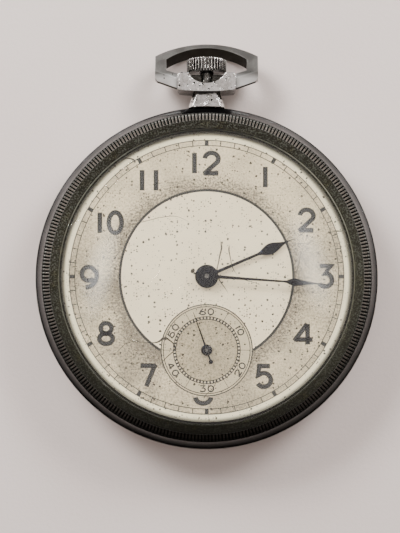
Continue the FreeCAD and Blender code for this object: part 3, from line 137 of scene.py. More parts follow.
def add(tree, kind, inputs=None, **settings):
    """Adds a node with its settings and links and returns its first output in use.

    An input is a plain value or another node's output, named by its name or its number.
    """
    node = tree.nodes.new("ShaderNode" + kind)
    for name, value in settings.items():
        setattr(node, name, value)
    live = [socket for socket in node.inputs if socket.enabled]
    names = [socket.name for socket in live]
    for key, value in (inputs or {}).items():
        target = live[key if isinstance(key, int) else names.index(key)]
        if isinstance(value, bpy.types.NodeSocket):
            tree.links.new(value, target)
        else:
            target.default_value = value
    return next(socket for socket in node.outputs if socket.enabled)


def start_material(name):
    """New material, its tree, its shader's inputs and the place on the watch."""
    material = bpy.data.materials.new(name)
    material.use_nodes = True
    tree = material.node_tree
    place = add(tree, "TexCoord").node.outputs["Object"]
    return material, tree, tree.nodes["Principled BSDF"].inputs, place


def blotches(tree, place, size, low, high, detail=4.0):
    """Cloudy patches about size across: 0 below the noise value low, 1 above high."""
    cloud = add(tree, "TexNoise", {"Vector": place, "Scale": 1 / size, "Detail": detail,
                                   "Roughness": 0.6})
    return add(tree, "MapRange", {"Value": cloud, "From Min": low, "From Max": high},
               interpolation_type="SMOOTHSTEP")


def hairlines(tree, place, size, width, share):
    """Thin curved scratches: 1 on a line, over the given share of the surface."""
    bend = add(tree, "TexNoise", {"Vector": place, "Scale": 1 / size, "Detail": 1.5})
    away = add(tree, "Math", {0: bend, 1: 0.5, 2: width}, operation="COMPARE")
    some = blotches(tree, place, size * 0.45, 0.56 - share, 0.6 - share, 1.0)
    return add(tree, "Math", {0: away, 1: some}, operation="MULTIPLY")


def specks(tree, place, spacing, largest, cells="3D"):
    """Pits or specks of dirt, of mixed size: 1 inside a speck, 0 between specks."""
    shift = add(tree, "TexNoise", {"Vector": place, "Scale": 2 / spacing}
                ).node.outputs["Color"]
    bent = add(tree, "VectorMath", {0: shift, 1: (0.35 * spacing,) * 3, 2: place},
               operation="MULTIPLY_ADD")
    cell = add(tree, "TexVoronoi", {"Vector": bent, "Scale": 1 / spacing},
               voronoi_dimensions=cells)
    chance = add(tree, "SeparateColor", {0: cell.node.outputs["Color"]})
    reach = add(tree, "MapRange", {"Value": chance, "From Min": 0.45, "From Max": 1.0,
                                   "To Min": 0.0, "To Max": largest / spacing})
    over = add(tree, "Math", {0: reach, 1: cell}, operation="SUBTRACT")
    return add(tree, "MapRange", {"Value": over, "From Min": 0.0, "From Max": 0.06})


def away_from(tree, place, centre=(0, 0)):
    """Distance from the upright axis through the centre."""
    level = add(tree, "VectorMath", {0: place, 1: (1, 1, 0)}, operation="MULTIPLY")
    spot = add(tree, "CombineXYZ", {"X": centre[0], "Y": centre[1]})
    return add(tree, "VectorMath", {0: level, 1: spot}, operation="DISTANCE"
               ).node.outputs["Value"]


def step_at(tree, value, limit, softness):
    """0 where value is under limit, 1 where it is over, within softness."""
    return add(tree, "MapRange", {"Value": value, "From Min": limit - softness / 2,
                                  "From Max": limit + softness / 2})


def link_normal(tree, shader, reliefs, edge=None):
    """Stacks reliefs, each a height and its depth in metres, on rounded edges."""
    normal = None
    if edge:
        normal = add(tree, "Bevel", {"Radius": edge}, samples=6)
    for height, depth in reliefs:
        inputs = {"Height": height, "Distance": depth}
        if normal:
            inputs["Normal"] = normal
        normal = add(tree, "Bump", inputs)
    tree.links.new(normal, shader["Normal"])


def worn_nickel():
    """Nickel plate on brass, spun and polished, then worn by a pocket for years.

    It gives a warm grey gloss, with fine scratches, dull clouds and a few dark pits.
    """
    material, tree, shader, place = start_material("nickel_plate_worn")
    clouds = blotches(tree, place, 6 * MM, 0.35, 0.7)
    pits = specks(tree, place, 0.9 * MM, 0.11 * MM)
    lines = hairlines(tree, place, 5 * MM, 0.004, 0.1)
    dull = add(tree, "Mix", {"Factor": clouds, "A": colours().nickel,
                             "B": linear("#807c75")}, data_type="RGBA")
    metal = add(tree, "Mix", {"Factor": pits, "A": dull, "B": colours().tarnish},
                data_type="RGBA")
    tree.links.new(metal, shader["Base Color"])
    shader["Metallic"].default_value = 1
    rough = add(tree, "MapRange", {"Value": clouds, "To Min": 0.2, "To Max": 0.38})
    tree.links.new(rough, shader["Roughness"])
    deep = add(tree, "Math", {0: lines, 1: pits}, operation="ADD")
    link_normal(tree, shader, [(add(tree, "Math", {0: 0.0, 1: deep}, operation="SUBTRACT"),
                                0.01 * MM)], sizes().edge_round)
    return material


def reeded_nickel():
    """Nickel plate, turned smooth outside, cut with reeds and stippled inside.

    The outer band is smooth and glossy, the reeds have pale crests and near black dirt in
    their grooves, with painted shade at their outer ends, and the inner band is dark and
    matt, with brass showing through on its high spots. Painted shade darkens the bezel
    towards six o'clock. A thin ring on the ledge under the crystal is pale.
    """
    material, tree, shader, place = start_material("nickel_plate_reeded")
    radius = away_from(tree, place)
    parts = add(tree, "SeparateXYZ", {"Vector": place}).node.outputs
    angle = add(tree, "Math", {0: parts["Y"], 1: parts["X"]}, operation="ARCTAN2")
    turn = add(tree, "Math", {0: angle, 1: sizes().reed_count / math.tau},
               operation="MULTIPLY")
    saw = add(tree, "Math", {0: turn, 1: 0.5}, operation="PINGPONG")
    groove = add(tree, "MapRange", {"Value": saw, "From Min": 0.14, "From Max": 0.38,
                                    "To Min": 0.0, "To Max": 1.0},
                 interpolation_type="SMOOTHSTEP")
    outside = step_at(tree, radius, REED_OUTER, 0.06 * MM)
    inside = step_at(tree, radius, REED_INNER, 0.1 * MM)
    reeded = add(tree, "Math", {0: inside, 1: outside}, operation="SUBTRACT")
    # Painted shade at the outer end of the reeds, where they would catch the light.
    painted_reed_end_shade = add(tree, "MapRange", {"Value": radius, "From Min": 23.0 * MM,
                                       "From Max": 23.3 * MM, "To Max": 0.75})
    groove_dirt_and_painted_shade = add(tree, "Math", {0: groove, 1: painted_reed_end_shade}, operation="MAXIMUM")
    dark_groove_and_painted_shade = add(tree, "Math", {0: reeded, 1: groove_dirt_and_painted_shade}, operation="MULTIPLY")
    clouds = blotches(tree, place, 5 * MM, 0.35, 0.68)
    stipple = blotches(tree, place, 0.2 * MM, 0.46, 0.66, 2.0)
    smooth = add(tree, "Mix", {"Factor": clouds, "A": linear("#5f6061"),
                               "B": linear("#4b4c4c")}, data_type="RGBA")
    worn = add(tree, "Mix", {"Factor": blotches(tree, place, 2.5 * MM, 0.5, 0.75),
                             "A": linear("#57574f"), "B": colours().brass_wear},
               data_type="RGBA")
    stippled = add(tree, "Mix", {"Factor": stipple, "A": colours().tarnish, "B": worn},
                   data_type="RGBA")
    zones = add(tree, "Mix", {"Factor": inside, "A": stippled, "B": smooth},
                data_type="RGBA")
    ledge = add(tree, "Math", {0: radius, 1: 20.9 * MM, 2: 0.11 * MM}, operation="COMPARE")
    zones = add(tree, "Mix", {"Factor": ledge, "A": zones, "B": linear("#b9b6aa")},
                data_type="RGBA")
    crests = add(tree, "Mix", {"Factor": reeded, "A": zones, "B": linear("#7f7d77")},
                 data_type="RGBA")
    # Painted shade: the bezel darkens towards six o'clock, to near black.
    low = add(tree, "MapRange", {"Value": parts["Y"], "From Min": 4 * MM,
                                 "From Max": -22 * MM, "To Max": 0.92})
    zones = add(tree, "Mix", {"Factor": low, "A": crests, "B": linear("#0c0b09")},
                data_type="RGBA")
    # Near black dirt in the grooves, and painted shade at the outer end of the reeds.
    metal = add(tree, "Mix", {"Factor": dark_groove_and_painted_shade, "A": zones, "B": linear("#12110e")},
                data_type="RGBA")
    tree.links.new(metal, shader["Base Color"])
    shader["Metallic"].default_value = 1
    matt = add(tree, "MapRange", {"Value": inside, "To Min": 0.55, "To Max": 0.26})
    rough = add(tree, "Math", {0: matt, 1: dark_groove_and_painted_shade}, operation="MAXIMUM")
    tree.links.new(rough, shader["Roughness"])
    rest = add(tree, "Math", {0: 1.0, 1: inside}, operation="SUBTRACT")
    grains = add(tree, "Math", {0: stipple, 1: rest}, operation="MULTIPLY")
    lines = hairlines(tree, place, 3 * MM, 0.006, 0.12)
    link_normal(tree, shader, [(grains, 0.03 * MM), (lines, 0.006 * MM)])
    return material


def hollows(tree, reach):
    """1 in corners and hollows narrower than reach, 0 in the open; it places painted shade."""
    open_sky = add(tree, "AmbientOcclusion", {"Distance": reach}, samples=8
                   ).node.outputs["AO"]
    return add(tree, "MapRange", {"Value": open_sky, "From Min": 0.85, "From Max": 0.45})


def grime(tree, reach):
    """Painted shade: 1 in hollows and on faces turned down towards the case, where shade falls."""
    facing = add(tree, "SeparateXYZ", {
        "Vector": add(tree, "TexCoord").node.outputs["Normal"]}).node.outputs["Y"]
    down = add(tree, "MapRange", {"Value": facing, "From Min": -0.2, "From Max": -0.7,
                                  "To Max": 0.98}, interpolation_type="SMOOTHSTEP")
    return add(tree, "Math", {0: hollows(tree, reach), 1: down}, operation="MAXIMUM")


def pitted_chrome():
    """Chrome plate, polished, with pits where damp got under it and many fine scratches.

    It mirrors the room in a slightly wavy way; its pits are dark, and painted shade darkens
    its grooves, its hollows and its faces turned down towards the case.
    """
    material, tree, shader, place = start_material("chrome_plate_pitted")
    pits = specks(tree, place, 0.42 * MM, 0.2 * MM)
    # Pits, and painted shade in the hollows and on faces turned down.
    dirt = add(tree, "Math", {0: pits, 1: grime(tree, 3.0 * MM)}, operation="MAXIMUM")
    clouds = blotches(tree, place, 1.6 * MM, 0.4, 0.72)
    stretched = add(tree, "Mapping", {"Vector": place, "Scale": (1, 0.12, 1),
                                      "Rotation": (0, 0, math.radians(52))})
    scratches = hairlines(tree, stretched, 0.7 * MM, 0.02, 0.2)
    dull = add(tree, "Mix", {"Factor": clouds, "A": colours().chrome,
                             "B": linear("#b3afa8")}, data_type="RGBA")
    metal = add(tree, "Mix", {"Factor": dirt, "A": dull, "B": colours().tarnish},
                data_type="RGBA")
    tree.links.new(metal, shader["Base Color"])
    shader["Metallic"].default_value = 1
    rough = add(tree, "MapRange", {"Value": clouds, "To Min": 0.1, "To Max": 0.3})
    tree.links.new(rough, shader["Roughness"])
    cuts = add(tree, "Math", {0: pits, 1: scratches}, operation="ADD")
    lowered = add(tree, "Math", {0: 0.0, 1: cuts}, operation="SUBTRACT")
    waves = add(tree, "TexNoise", {"Vector": place, "Scale": 1 / (0.9 * MM), "Detail": 2.0})
    link_normal(tree, shader, [(lowered, 0.02 * MM), (waves, 0.16 * MM)],
                sizes().edge_round)
    return material


def brushed_chrome():
    """Chrome plate on a filed bow, dulled by the hand; its arms carry a painted highlight, and painted
    shade darkens its hollows and its faces turned down.
    """
    material, tree, shader, place = start_material("chrome_plate_brushed")
    across = add(tree, "Mapping", {"Vector": place, "Scale": (1, 0.06, 1)})
    brush = add(tree, "TexNoise", {"Vector": across, "Scale": 1 / (0.12 * MM),
                                   "Detail": 2.0})
    clouds = blotches(tree, place, 2.2 * MM, 0.38, 0.7)
    dull = add(tree, "Mix", {"Factor": clouds, "A": linear("#8f8d89"),
                             "B": linear("#75736f")}, data_type="RGBA")
    # Painted highlight: the arms near the pendant are painted nearly white.
    up = add(tree, "SeparateXYZ", {"Vector": place}).node.outputs["Y"]
    painted_arm_highlight = add(tree, "MapRange", {"Value": up, "From Min": 29.6 * MM, "From Max": 28.8 * MM})
    dull = add(tree, "Mix", {"Factor": painted_arm_highlight, "A": dull, "B": linear("#f2f0ec")},
               data_type="RGBA")
    # Specks, and painted shade in the hollows and on faces turned down.
    dirt = add(tree, "Math", {0: specks(tree, place, 0.6 * MM, 0.12 * MM),
                              1: grime(tree, 1.6 * MM)}, operation="MAXIMUM")
    metal = add(tree, "Mix", {"Factor": dirt, "A": dull, "B": colours().tarnish},
                data_type="RGBA")
    tree.links.new(metal, shader["Base Color"])
    shader["Metallic"].default_value = 1
    rough = add(tree, "MapRange", {"Value": clouds, "To Min": 0.3, "To Max": 0.46})
    tree.links.new(rough, shader["Roughness"])
    link_normal(tree, shader, [(brush, 0.008 * MM)], sizes().edge_round)
    return material


def silvered_dial():
    """Brass dial, silvered by rubbing and lacquered; the lacquer has browned with age.

    The hour ring is mottled beige, the centre paler with dark specks and hair scratches,
    and the small seconds dial is turned, which leaves fine rings.
    """
    material, tree, shader, place = start_material("silvered_brass_lacquered")
    radius = away_from(tree, place)
    small = away_from(tree, place, SECONDS_CENTRE)
    parts = add(tree, "SeparateXYZ", {"Vector": place}).node.outputs
    ring = step_at(tree, radius, sizes().dial_circle, 0.05 * MM)
    margin = step_at(tree, radius, 19.5 * MM, 0.05 * MM)
    off_small = step_at(tree, small, sizes().seconds_border, 0.04 * MM)
    off_well = step_at(tree, small, SECONDS_INNER, 0.04 * MM)
    ring = add(tree, "Math", {0: ring, 1: off_small}, operation="MULTIPLY")
    mottle = blotches(tree, place, 0.3 * MM, 0.4, 0.66)
    cloud = blotches(tree, place, 7 * MM, 0.36, 0.64, 2.0)
    slope = add(tree, "MapRange", {"Value": add(tree, "Math", {0: parts["X"], 1: parts["Y"]},
                                                operation="ADD"),
                                   "From Min": -26 * MM, "From Max": 12 * MM,
                                   "To Min": 1.1, "To Max": 0.55})
    brown = add(tree, "Math", {0: add(tree, "Math", {0: mottle, 1: cloud}, operation="ADD"),
                               1: slope}, operation="MULTIPLY")
    edge = add(tree, "MapRange", {"Value": radius, "From Min": 15.5 * MM,
                                  "From Max": 12.3 * MM, "To Max": 0.8},
               interpolation_type="SMOOTHSTEP")
    right = add(tree, "MapRange", {"Value": parts["X"], "From Min": 12 * MM,
                                   "From Max": 19 * MM, "To Max": 0.4})
    more = add(tree, "Math", {0: add(tree, "Math", {0: edge, 1: right}, operation="ADD"),
                              1: add(tree, "Math", {0: mottle, 1: 0.35}, operation="ADD")},
               operation="MULTIPLY")
    brown = add(tree, "Math", {0: brown, 1: 0.5, 2: more}, operation="MULTIPLY_ADD",
                use_clamp=True)
    aged = add(tree, "Mix", {"Factor": brown, "A": colours().hour_ring,
                             "B": colours().patina}, data_type="RGBA")
    pale = add(tree, "Mix", {"Factor": add(tree, "Math", {0: cloud, 1: 0.35},
                                           operation="MULTIPLY"),
                             "A": colours().silvering, "B": colours().hour_ring},
               data_type="RGBA")
    face = add(tree, "Mix", {"Factor": ring, "A": pale, "B": aged}, data_type="RGBA")
    well = add(tree, "Mix", {"Factor": mottle, "A": linear("#aa9c84"),
                             "B": linear("#867a64")}, data_type="RGBA")
    around = add(tree, "Mix", {"Factor": off_small, "A": linear("#b9ab92"), "B": face},
                 data_type="RGBA")
    face = add(tree, "Mix", {"Factor": off_well, "A": well, "B": around}, data_type="RGBA")
    rim_dirt = add(tree, "MapRange", {"Value": radius, "From Min": 19.95 * MM,
                                      "From Max": 20.35 * MM, "To Max": 0.85})
    rim = add(tree, "Mix", {"Factor": rim_dirt, "A": colours().margin,
                            "B": colours().tarnish}, data_type="RGBA")
    face = add(tree, "Mix", {"Factor": margin, "A": face, "B": rim}, data_type="RGBA")
    dirt = specks(tree, place, 0.8 * MM, 0.19 * MM, "2D")
    fine = specks(tree, place, 0.34 * MM, 0.11 * MM, "2D")
    thick = blotches(tree, place, 3.2 * MM, 0.42, 0.62, 2.0)
    fine = add(tree, "Math", {0: fine, 1: thick}, operation="MULTIPLY")
    hairs = hairlines(tree, place, 15 * MM, 0.0014, 0.06)
    marks = add(tree, "Math", {0: add(tree, "Math", {0: dirt, 1: fine},
                                      operation="MAXIMUM"),
                               1: hairs}, operation="MAXIMUM")
    face = add(tree, "Mix", {"Factor": marks, "A": face, "B": linear("#322a20")},
               data_type="RGBA")
    tree.links.new(face, shader["Base Color"])
    shader["Metallic"].default_value = 0.25
    shader["Roughness"].default_value = 0.42
    rings = add(tree, "Math", {0: small, 1: 0.11 * MM}, operation="PINGPONG")
    turned = add(tree, "Math", {0: rings, 1: add(tree, "Math", {0: 1.0, 1: off_well},
                                                 operation="SUBTRACT")},
                 operation="MULTIPLY")
    grain = add(tree, "TexNoise", {"Vector": place, "Scale": 1 / (0.15 * MM),
                                   "Detail": 3.0})
    link_normal(tree, shader, [(grain, 0.006 * MM), (turned, 80.0 * MM)])
    return material


def printed_ink():
    """Black printing ink, pad printed; slightly glossy, with tiny gaps where it flaked."""
    material, tree, shader, place = start_material("printing_ink_black")
    wear = blotches(tree, place, 0.12 * MM, 0.58, 0.72)
    faded = add(tree, "Mix", {"Factor": wear, "A": colours().ink, "B": linear("#383634")},
                data_type="RGBA")
    tree.links.new(faded, shader["Base Color"])
    shader["Roughness"].default_value = 0.38
    link_normal(tree, shader, [(wear, 0.004 * MM)])
    return material


def blued_steel():
    """Steel, polished and blued in a flame: near black, with a blue sheen in the light."""
    material, tree, shader, place = start_material("blued_steel_polished")
    film = blotches(tree, place, 0.8 * MM, 0.35, 0.7)
    colour = add(tree, "Mix", {"Factor": film, "A": colours().blued_steel,
                               "B": linear("#20222b")}, data_type="RGBA")
    tree.links.new(colour, shader["Base Color"])
    shader["Metallic"].default_value = 1
    rough = add(tree, "MapRange", {"Value": film, "To Min": 0.16, "To Max": 0.3})
    tree.links.new(rough, shader["Roughness"])
    grain = add(tree, "TexNoise", {"Vector": place, "Scale": 1 / (0.1 * MM), "Detail": 2.0})
    link_normal(tree, shader, [(grain, 0.004 * MM)])
    return material


def clear_acrylic():
    """Acrylic glass, moulded and polished: clear, with hair scratches on its outside.

    Rays from the lamps pass straight through, so that the dial under it is lit.
    """
    material, tree, shader, place = start_material("acrylic_glass_polished")
    shader["Base Color"].default_value = linear("#fbfbf7")
    shader["Transmission Weight"].default_value = 1
    shader["IOR"].default_value = 1.49
    lines = hairlines(tree, place, 14 * MM, 0.0012, 0.04)
    rough = add(tree, "MapRange", {"Value": lines, "To Min": 0.02, "To Max": 0.2})
    tree.links.new(rough, shader["Roughness"])
    link_normal(tree, shader, [(lines, 0.004 * MM)])
    output = tree.nodes["Material Output"].inputs["Surface"]
    lamp_ray = add(tree, "LightPath").node.outputs["Is Shadow Ray"]
    clear = add(tree, "BsdfTransparent", {"Color": linear("#f4f4ee")})
    seen = output.links[0].from_socket
    tree.links.new(add(tree, "MixShader", {0: lamp_ray, 1: seen, 2: clear}), output)
    return material


def cut_metal(name, colour, dark, grain_size, stretch, rough_low, rough_high, relief):
    """Metal with a directional cut: rolled, filed or brushed, as its name says."""
    material, tree, shader, place = start_material(name)
    lengthened = add(tree, "Mapping", {"Vector": place, "Scale": (1, stretch, 1)})
    cuts = add(tree, "TexNoise", {"Vector": lengthened, "Scale": 1 / grain_size,
                                  "Detail": 3.0})
    clouds = blotches(tree, place, 1.8 * MM, 0.36, 0.68)
    metal = add(tree, "Mix", {"Factor": clouds, "A": colour, "B": linear(dark)},
                data_type="RGBA")
    tree.links.new(metal, shader["Base Color"])
    shader["Metallic"].default_value = 1
    rough = add(tree, "MapRange", {"Value": cuts, "To Min": rough_low, "To Max": rough_high})
    tree.links.new(rough, shader["Roughness"])
    link_normal(tree, shader, [(cuts, relief)])
    return material


def striped_nickel():
    """Nickel silver bridges and plate, ground in broad straight stripes."""
    material, tree, shader, place = start_material("nickel_silver_striped")
    parts = add(tree, "SeparateXYZ", {"Vector": place}).node.outputs
    across = add(tree, "Math", {0: parts["X"], 1: parts["Y"]}, operation="ADD")
    stripe = add(tree, "Math", {0: across, 1: 1.1 * MM}, operation="PINGPONG")
    tone = add(tree, "MapRange", {"Value": stripe, "From Max": 1.1 * MM})
    grain = add(tree, "TexNoise", {"Vector": place, "Scale": 1 / (0.06 * MM)})
    metal = add(tree, "Mix", {"Factor": tone, "A": linear("#cfcac0"),
                              "B": linear("#a9a49a")}, data_type="RGBA")
    tree.links.new(metal, shader["Base Color"])
    shader["Metallic"].default_value = 1
    rough = add(tree, "MapRange", {"Value": grain, "To Min": 0.2, "To Max": 0.36})
    tree.links.new(rough, shader["Roughness"])
    link_normal(tree, shader, [(stripe, 40.0 * MM), (grain, 0.004 * MM)])
    return material


def synthetic_ruby():
    """Synthetic ruby, ground and polished: clear red, with a bright gloss."""
    material, tree, shader, place = start_material("synthetic_ruby_polished")
    depth = blotches(tree, place, 0.3 * MM, 0.3, 0.7)
    colour = add(tree, "Mix", {"Factor": depth, "A": colours().ruby,
                               "B": linear("#7d0a26")}, data_type="RGBA")
    tree.links.new(colour, shader["Base Color"])
    shader["Transmission Weight"].default_value = 0.35
    shader["IOR"].default_value = 1.76
    shader["Roughness"].default_value = 0.06
    link_normal(tree, shader, [(depth, 0.004 * MM)])
    return material


def laid_paper():
    """Uncoated white paper board, slightly warm, with the faint grain of its fibres."""
    material, tree, shader, place = start_material("paper_board_uncoated")
    fibres = blotches(tree, place, 0.5 * MM, 0.3, 0.7)
    tone = blotches(tree, place, 60 * MM, 0.3, 0.7, 2.0)
    mixed = add(tree, "Mix", {"Factor": tone, "A": colours().paper,
                              "B": linear("#dacbc4")}, data_type="RGBA")
    tree.links.new(mixed, shader["Base Color"])
    shader["Roughness"].default_value = 0.75
    link_normal(tree, shader, [(fibres, 0.01 * MM)])
    return material


# ---- meshes ----------------------------------------------------------------------------

BEZEL_LOW, BEZEL_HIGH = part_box("bezel")
GLASS_LOW, GLASS_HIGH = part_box("crystal")
DIAL_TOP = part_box("dial")[1][2]
SECONDS_LOW, SECONDS_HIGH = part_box("fourth_wheel")
SECONDS_CENTRE = ((SECONDS_LOW[0] + SECONDS_HIGH[0]) / 2,
                  (SECONDS_LOW[1] + SECONDS_HIGH[1]) / 2)
REED_OUTER = 23.4 * MM
REED_INNER = 22.3 * MM
SECONDS_INNER = 4.35 * MM
CASE_WIDEST = 24.4 * MM
REED_FOOT = 1.45 * MM


def dress(material, *names):
    """Gives CAD nodes a finish."""
    for name in names:
        for slot in NODES[name].material_slots:
            slot.material = material


def new_piece(name, builder, body, material, replaced=None, smooth=30):
    """Turns a built mesh into a piece that rides on a body."""
    mesh = bpy.data.meshes.new(name)
    bmesh.ops.recalc_face_normals(builder, faces=builder.faces)
    builder.to_mesh(mesh)
    builder.free()
    mesh.materials.append(material)
    mesh.polygons.foreach_set("use_smooth", [True] * len(mesh.polygons))
    mesh.set_sharp_from_angle(angle=math.radians(smooth))
    piece = bpy.data.objects.new(name, mesh)
    bpy.context.scene.collection.objects.link(piece)
    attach(piece, body)
    if replaced:
        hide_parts(replaced)
    return piece


def arc(centre, radii, start, end, count=16):
    """Points along an arc of an ellipse, between two angles in degrees."""
    return [(centre[0] + radii[0] * math.cos(math.radians(start + (end - start) * i / count)),
             centre[1] + radii[1] * math.sin(math.radians(start + (end - start) * i / count)))
            for i in range(count + 1)]


def bulge(start, end, radius, count=12):
    """Points of a circular arc between two points, bulging to the left of the way."""
    start, end = Vector(start), Vector(end)
    chord = end - start
    left = Vector((-chord.y, chord.x)).normalized()
    centre = (start + end) / 2 - left * math.sqrt(radius ** 2 - chord.length_squared / 4)
    total = -2 * math.asin(chord.length / 2 / radius)
    return [tuple(centre + Matrix.Rotation(total * i / count, 2) @ (start - centre))
            for i in range(count + 1)]


def lathe(builder, profile, steps, shape=None):
    """Closed solid turned from a profile of (radius, height) points about +Z."""
    rings = []
    for index, (radius, height) in enumerate(profile):
        if radius == 0:
            rings.append([builder.verts.new((0, 0, height))] * steps)
            continue
        ring = []
        for step in range(steps):
            far, high = shape(index, step) if shape else (radius, height)
            angle = math.tau * step / steps
            ring.append(builder.verts.new((far * math.cos(angle), far * math.sin(angle),
                                           high)))
        rings.append(ring)
    for ring, following in zip(rings, rings[1:] + rings[:1]):
        if ring[0] is ring[1] and following[0] is following[1]:
            continue
        for step in range(steps):
            after = (step + 1) % steps
            corners = [ring[step], ring[after], following[after], following[step]]
            builder.faces.new(list(dict.fromkeys(corners)))


def stroke(builder, path, width, low, high, closed=False):
    """Closed strip of ink of even width along a flat path, from height low to high."""
    points = [Vector(point) for point in path]
    if closed and (points[0] - points[-1]).length < width * 1e-3:
        points.pop()
    count = len(points)
    sections = []
    for index, point in enumerate(points):
        before = points[index - 1] if closed or index else point
        after = points[(index + 1) % count] if closed or index < count - 1 else point
        into = (point - before).normalized() if point != before else None
        out = (after - point).normalized() if after != point else None
        along = ((into or out) + (out or into)).normalized()
        side = Vector((-along.y, along.x))
        lean = abs(side.dot(Vector((-(out or into).y, (out or into).x))))
        reach = side * (width / 2 / max(lean, 0.5))
        sections.append([builder.verts.new((*(point + reach), low)),
                         builder.verts.new((*(point - reach), low)),
                         builder.verts.new((*(point - reach), high)),
                         builder.verts.new((*(point + reach), high))])
    pairs = list(zip(sections, sections[1:]))
    if closed:
        pairs.append((sections[-1], sections[0]))
    for first, second in pairs:
        for corner in range(4):
            following = (corner + 1) % 4
            builder.faces.new([first[corner], first[following], second[following],
                               second[corner]])
    if not closed:
        builder.faces.new(sections[0])
        builder.faces.new(sections[-1])


def polar(radius, degrees, centre=(0, 0)):
    """Point at a clock angle: 0 at the top, turning clockwise."""
    angle = math.radians(90 - degrees)
    return (centre[0] + radius * math.cos(angle), centre[1] + radius * math.sin(angle))


# Strokes of each numeral, within a box from -0.5 to 0.5 each way.
DIGITS = {
    "0": [arc((0, 0), (0.5, 0.5), 0, 360, 40)],
    "1": [[(0, -0.5), (0, 0.5)]],
    "2": [arc((0, 0.2), (0.5, 0.3), 175, -28, 20) + [(-0.46, -0.47), (-0.44, -0.5),
                                                      (0.5, -0.5)]],
    "3": [[(-0.44, 0.5), (0.4, 0.5), (-0.04, 0.13)]
          + arc((-0.02, -0.18), (0.5, 0.32), 80, -150, 22)],
    "4": [[(0.18, 0.5), (-0.5, -0.24), (-0.48, -0.26), (0.5, -0.26)],
          [(0.2, 0.5), (0.2, -0.5)]],
    "5": [[(0.42, 0.5), (-0.34, 0.5), (-0.42, 0.06)]
          + arc((-0.02, -0.17), (0.5, 0.33), 118, -150, 24)],
    "6": [arc((0, -0.24), (0.5, 0.26), 0, 360, 30),
          [(0.08, 0.5), (-0.34, 0.14), (-0.5, -0.24)]],
    "7": [[(-0.5, 0.5), (0.47, 0.5), (0.5, 0.48), (-0.08, -0.5)]],
    "8": [arc((0, 0.25), (0.4, 0.25), 0, 360, 30), arc((0, -0.25), (0.5, 0.25), 0, 360, 30)],
    "9": [arc((-0.05, 0.17), (0.45, 0.33), -42, -330, 34)
          + arc((-0.28, 0.1), (0.78, 0.6), 12, -88, 14)],
}


def numeral(builder, text, centre, size, width, low, high, turn=0.0, gap=0.22):
    """Prints digits side by side; size is each digit's width and height."""
    widths = [width if digit == "1" else size[0] for digit in text]
    total = sum(widths) + gap * size[0] * (len(text) - 1)
    left = -total / 2
    spin = Matrix.Rotation(math.radians(-turn), 2)
    for digit, across in zip(text, widths):
        for path in DIGITS[digit]:
            points = [spin @ Vector((left + across / 2 + x * (across - width),
                                     y * (size[1] - width))) + Vector(centre)
                      for x, y in path]
            ends_meet = (points[0] - points[-1]).length < width * 1e-3
            stroke(builder, points, width, low, high, ends_meet)
        left += across + gap * size[0]


def crowned_blade(builder, sections, low, high):
    """Hand with a crowned top, lofted along +Y through (distance, half width) sections."""
    outline = [(-1, 0), (-1, 0.45), (-0.6, 0.85), (0, 1), (0.6, 0.85), (1, 0.45), (1, 0)]
    loops = [[builder.verts.new((across * half, distance, low + up * (high - low)))
              for across, up in outline] for distance, half in sections]
    count = len(outline)
    for first, second in zip(loops, loops[1:]):
        for corner in range(count):
            following = (corner + 1) % count
            builder.faces.new([first[corner], first[following], second[following],
                               second[corner]])
    builder.faces.new(loops[0])
    builder.faces.new(loops[-1])


def hand(name, body, replaced, material, angle, blade, levels, boss, pivot=(0, 0)):
    """One hand: blade sections, its low and high level, and its turned boss profile."""
    builder = bmesh.new()
    crowned_blade(builder, [(MM * d, MM * w) for d, w in blade], *levels)
    lathe(builder, [(MM * r, z) for r, z in boss], 64)
    turn = Matrix.Translation((*pivot, 0)) @ Matrix.Rotation(math.radians(angle), 4, "Z")
    bmesh.ops.transform(builder, matrix=turn, verts=builder.verts)
    return new_piece(name, builder, body, material, replaced, 40)


# ---- operators -------------------------------------------------------------------------

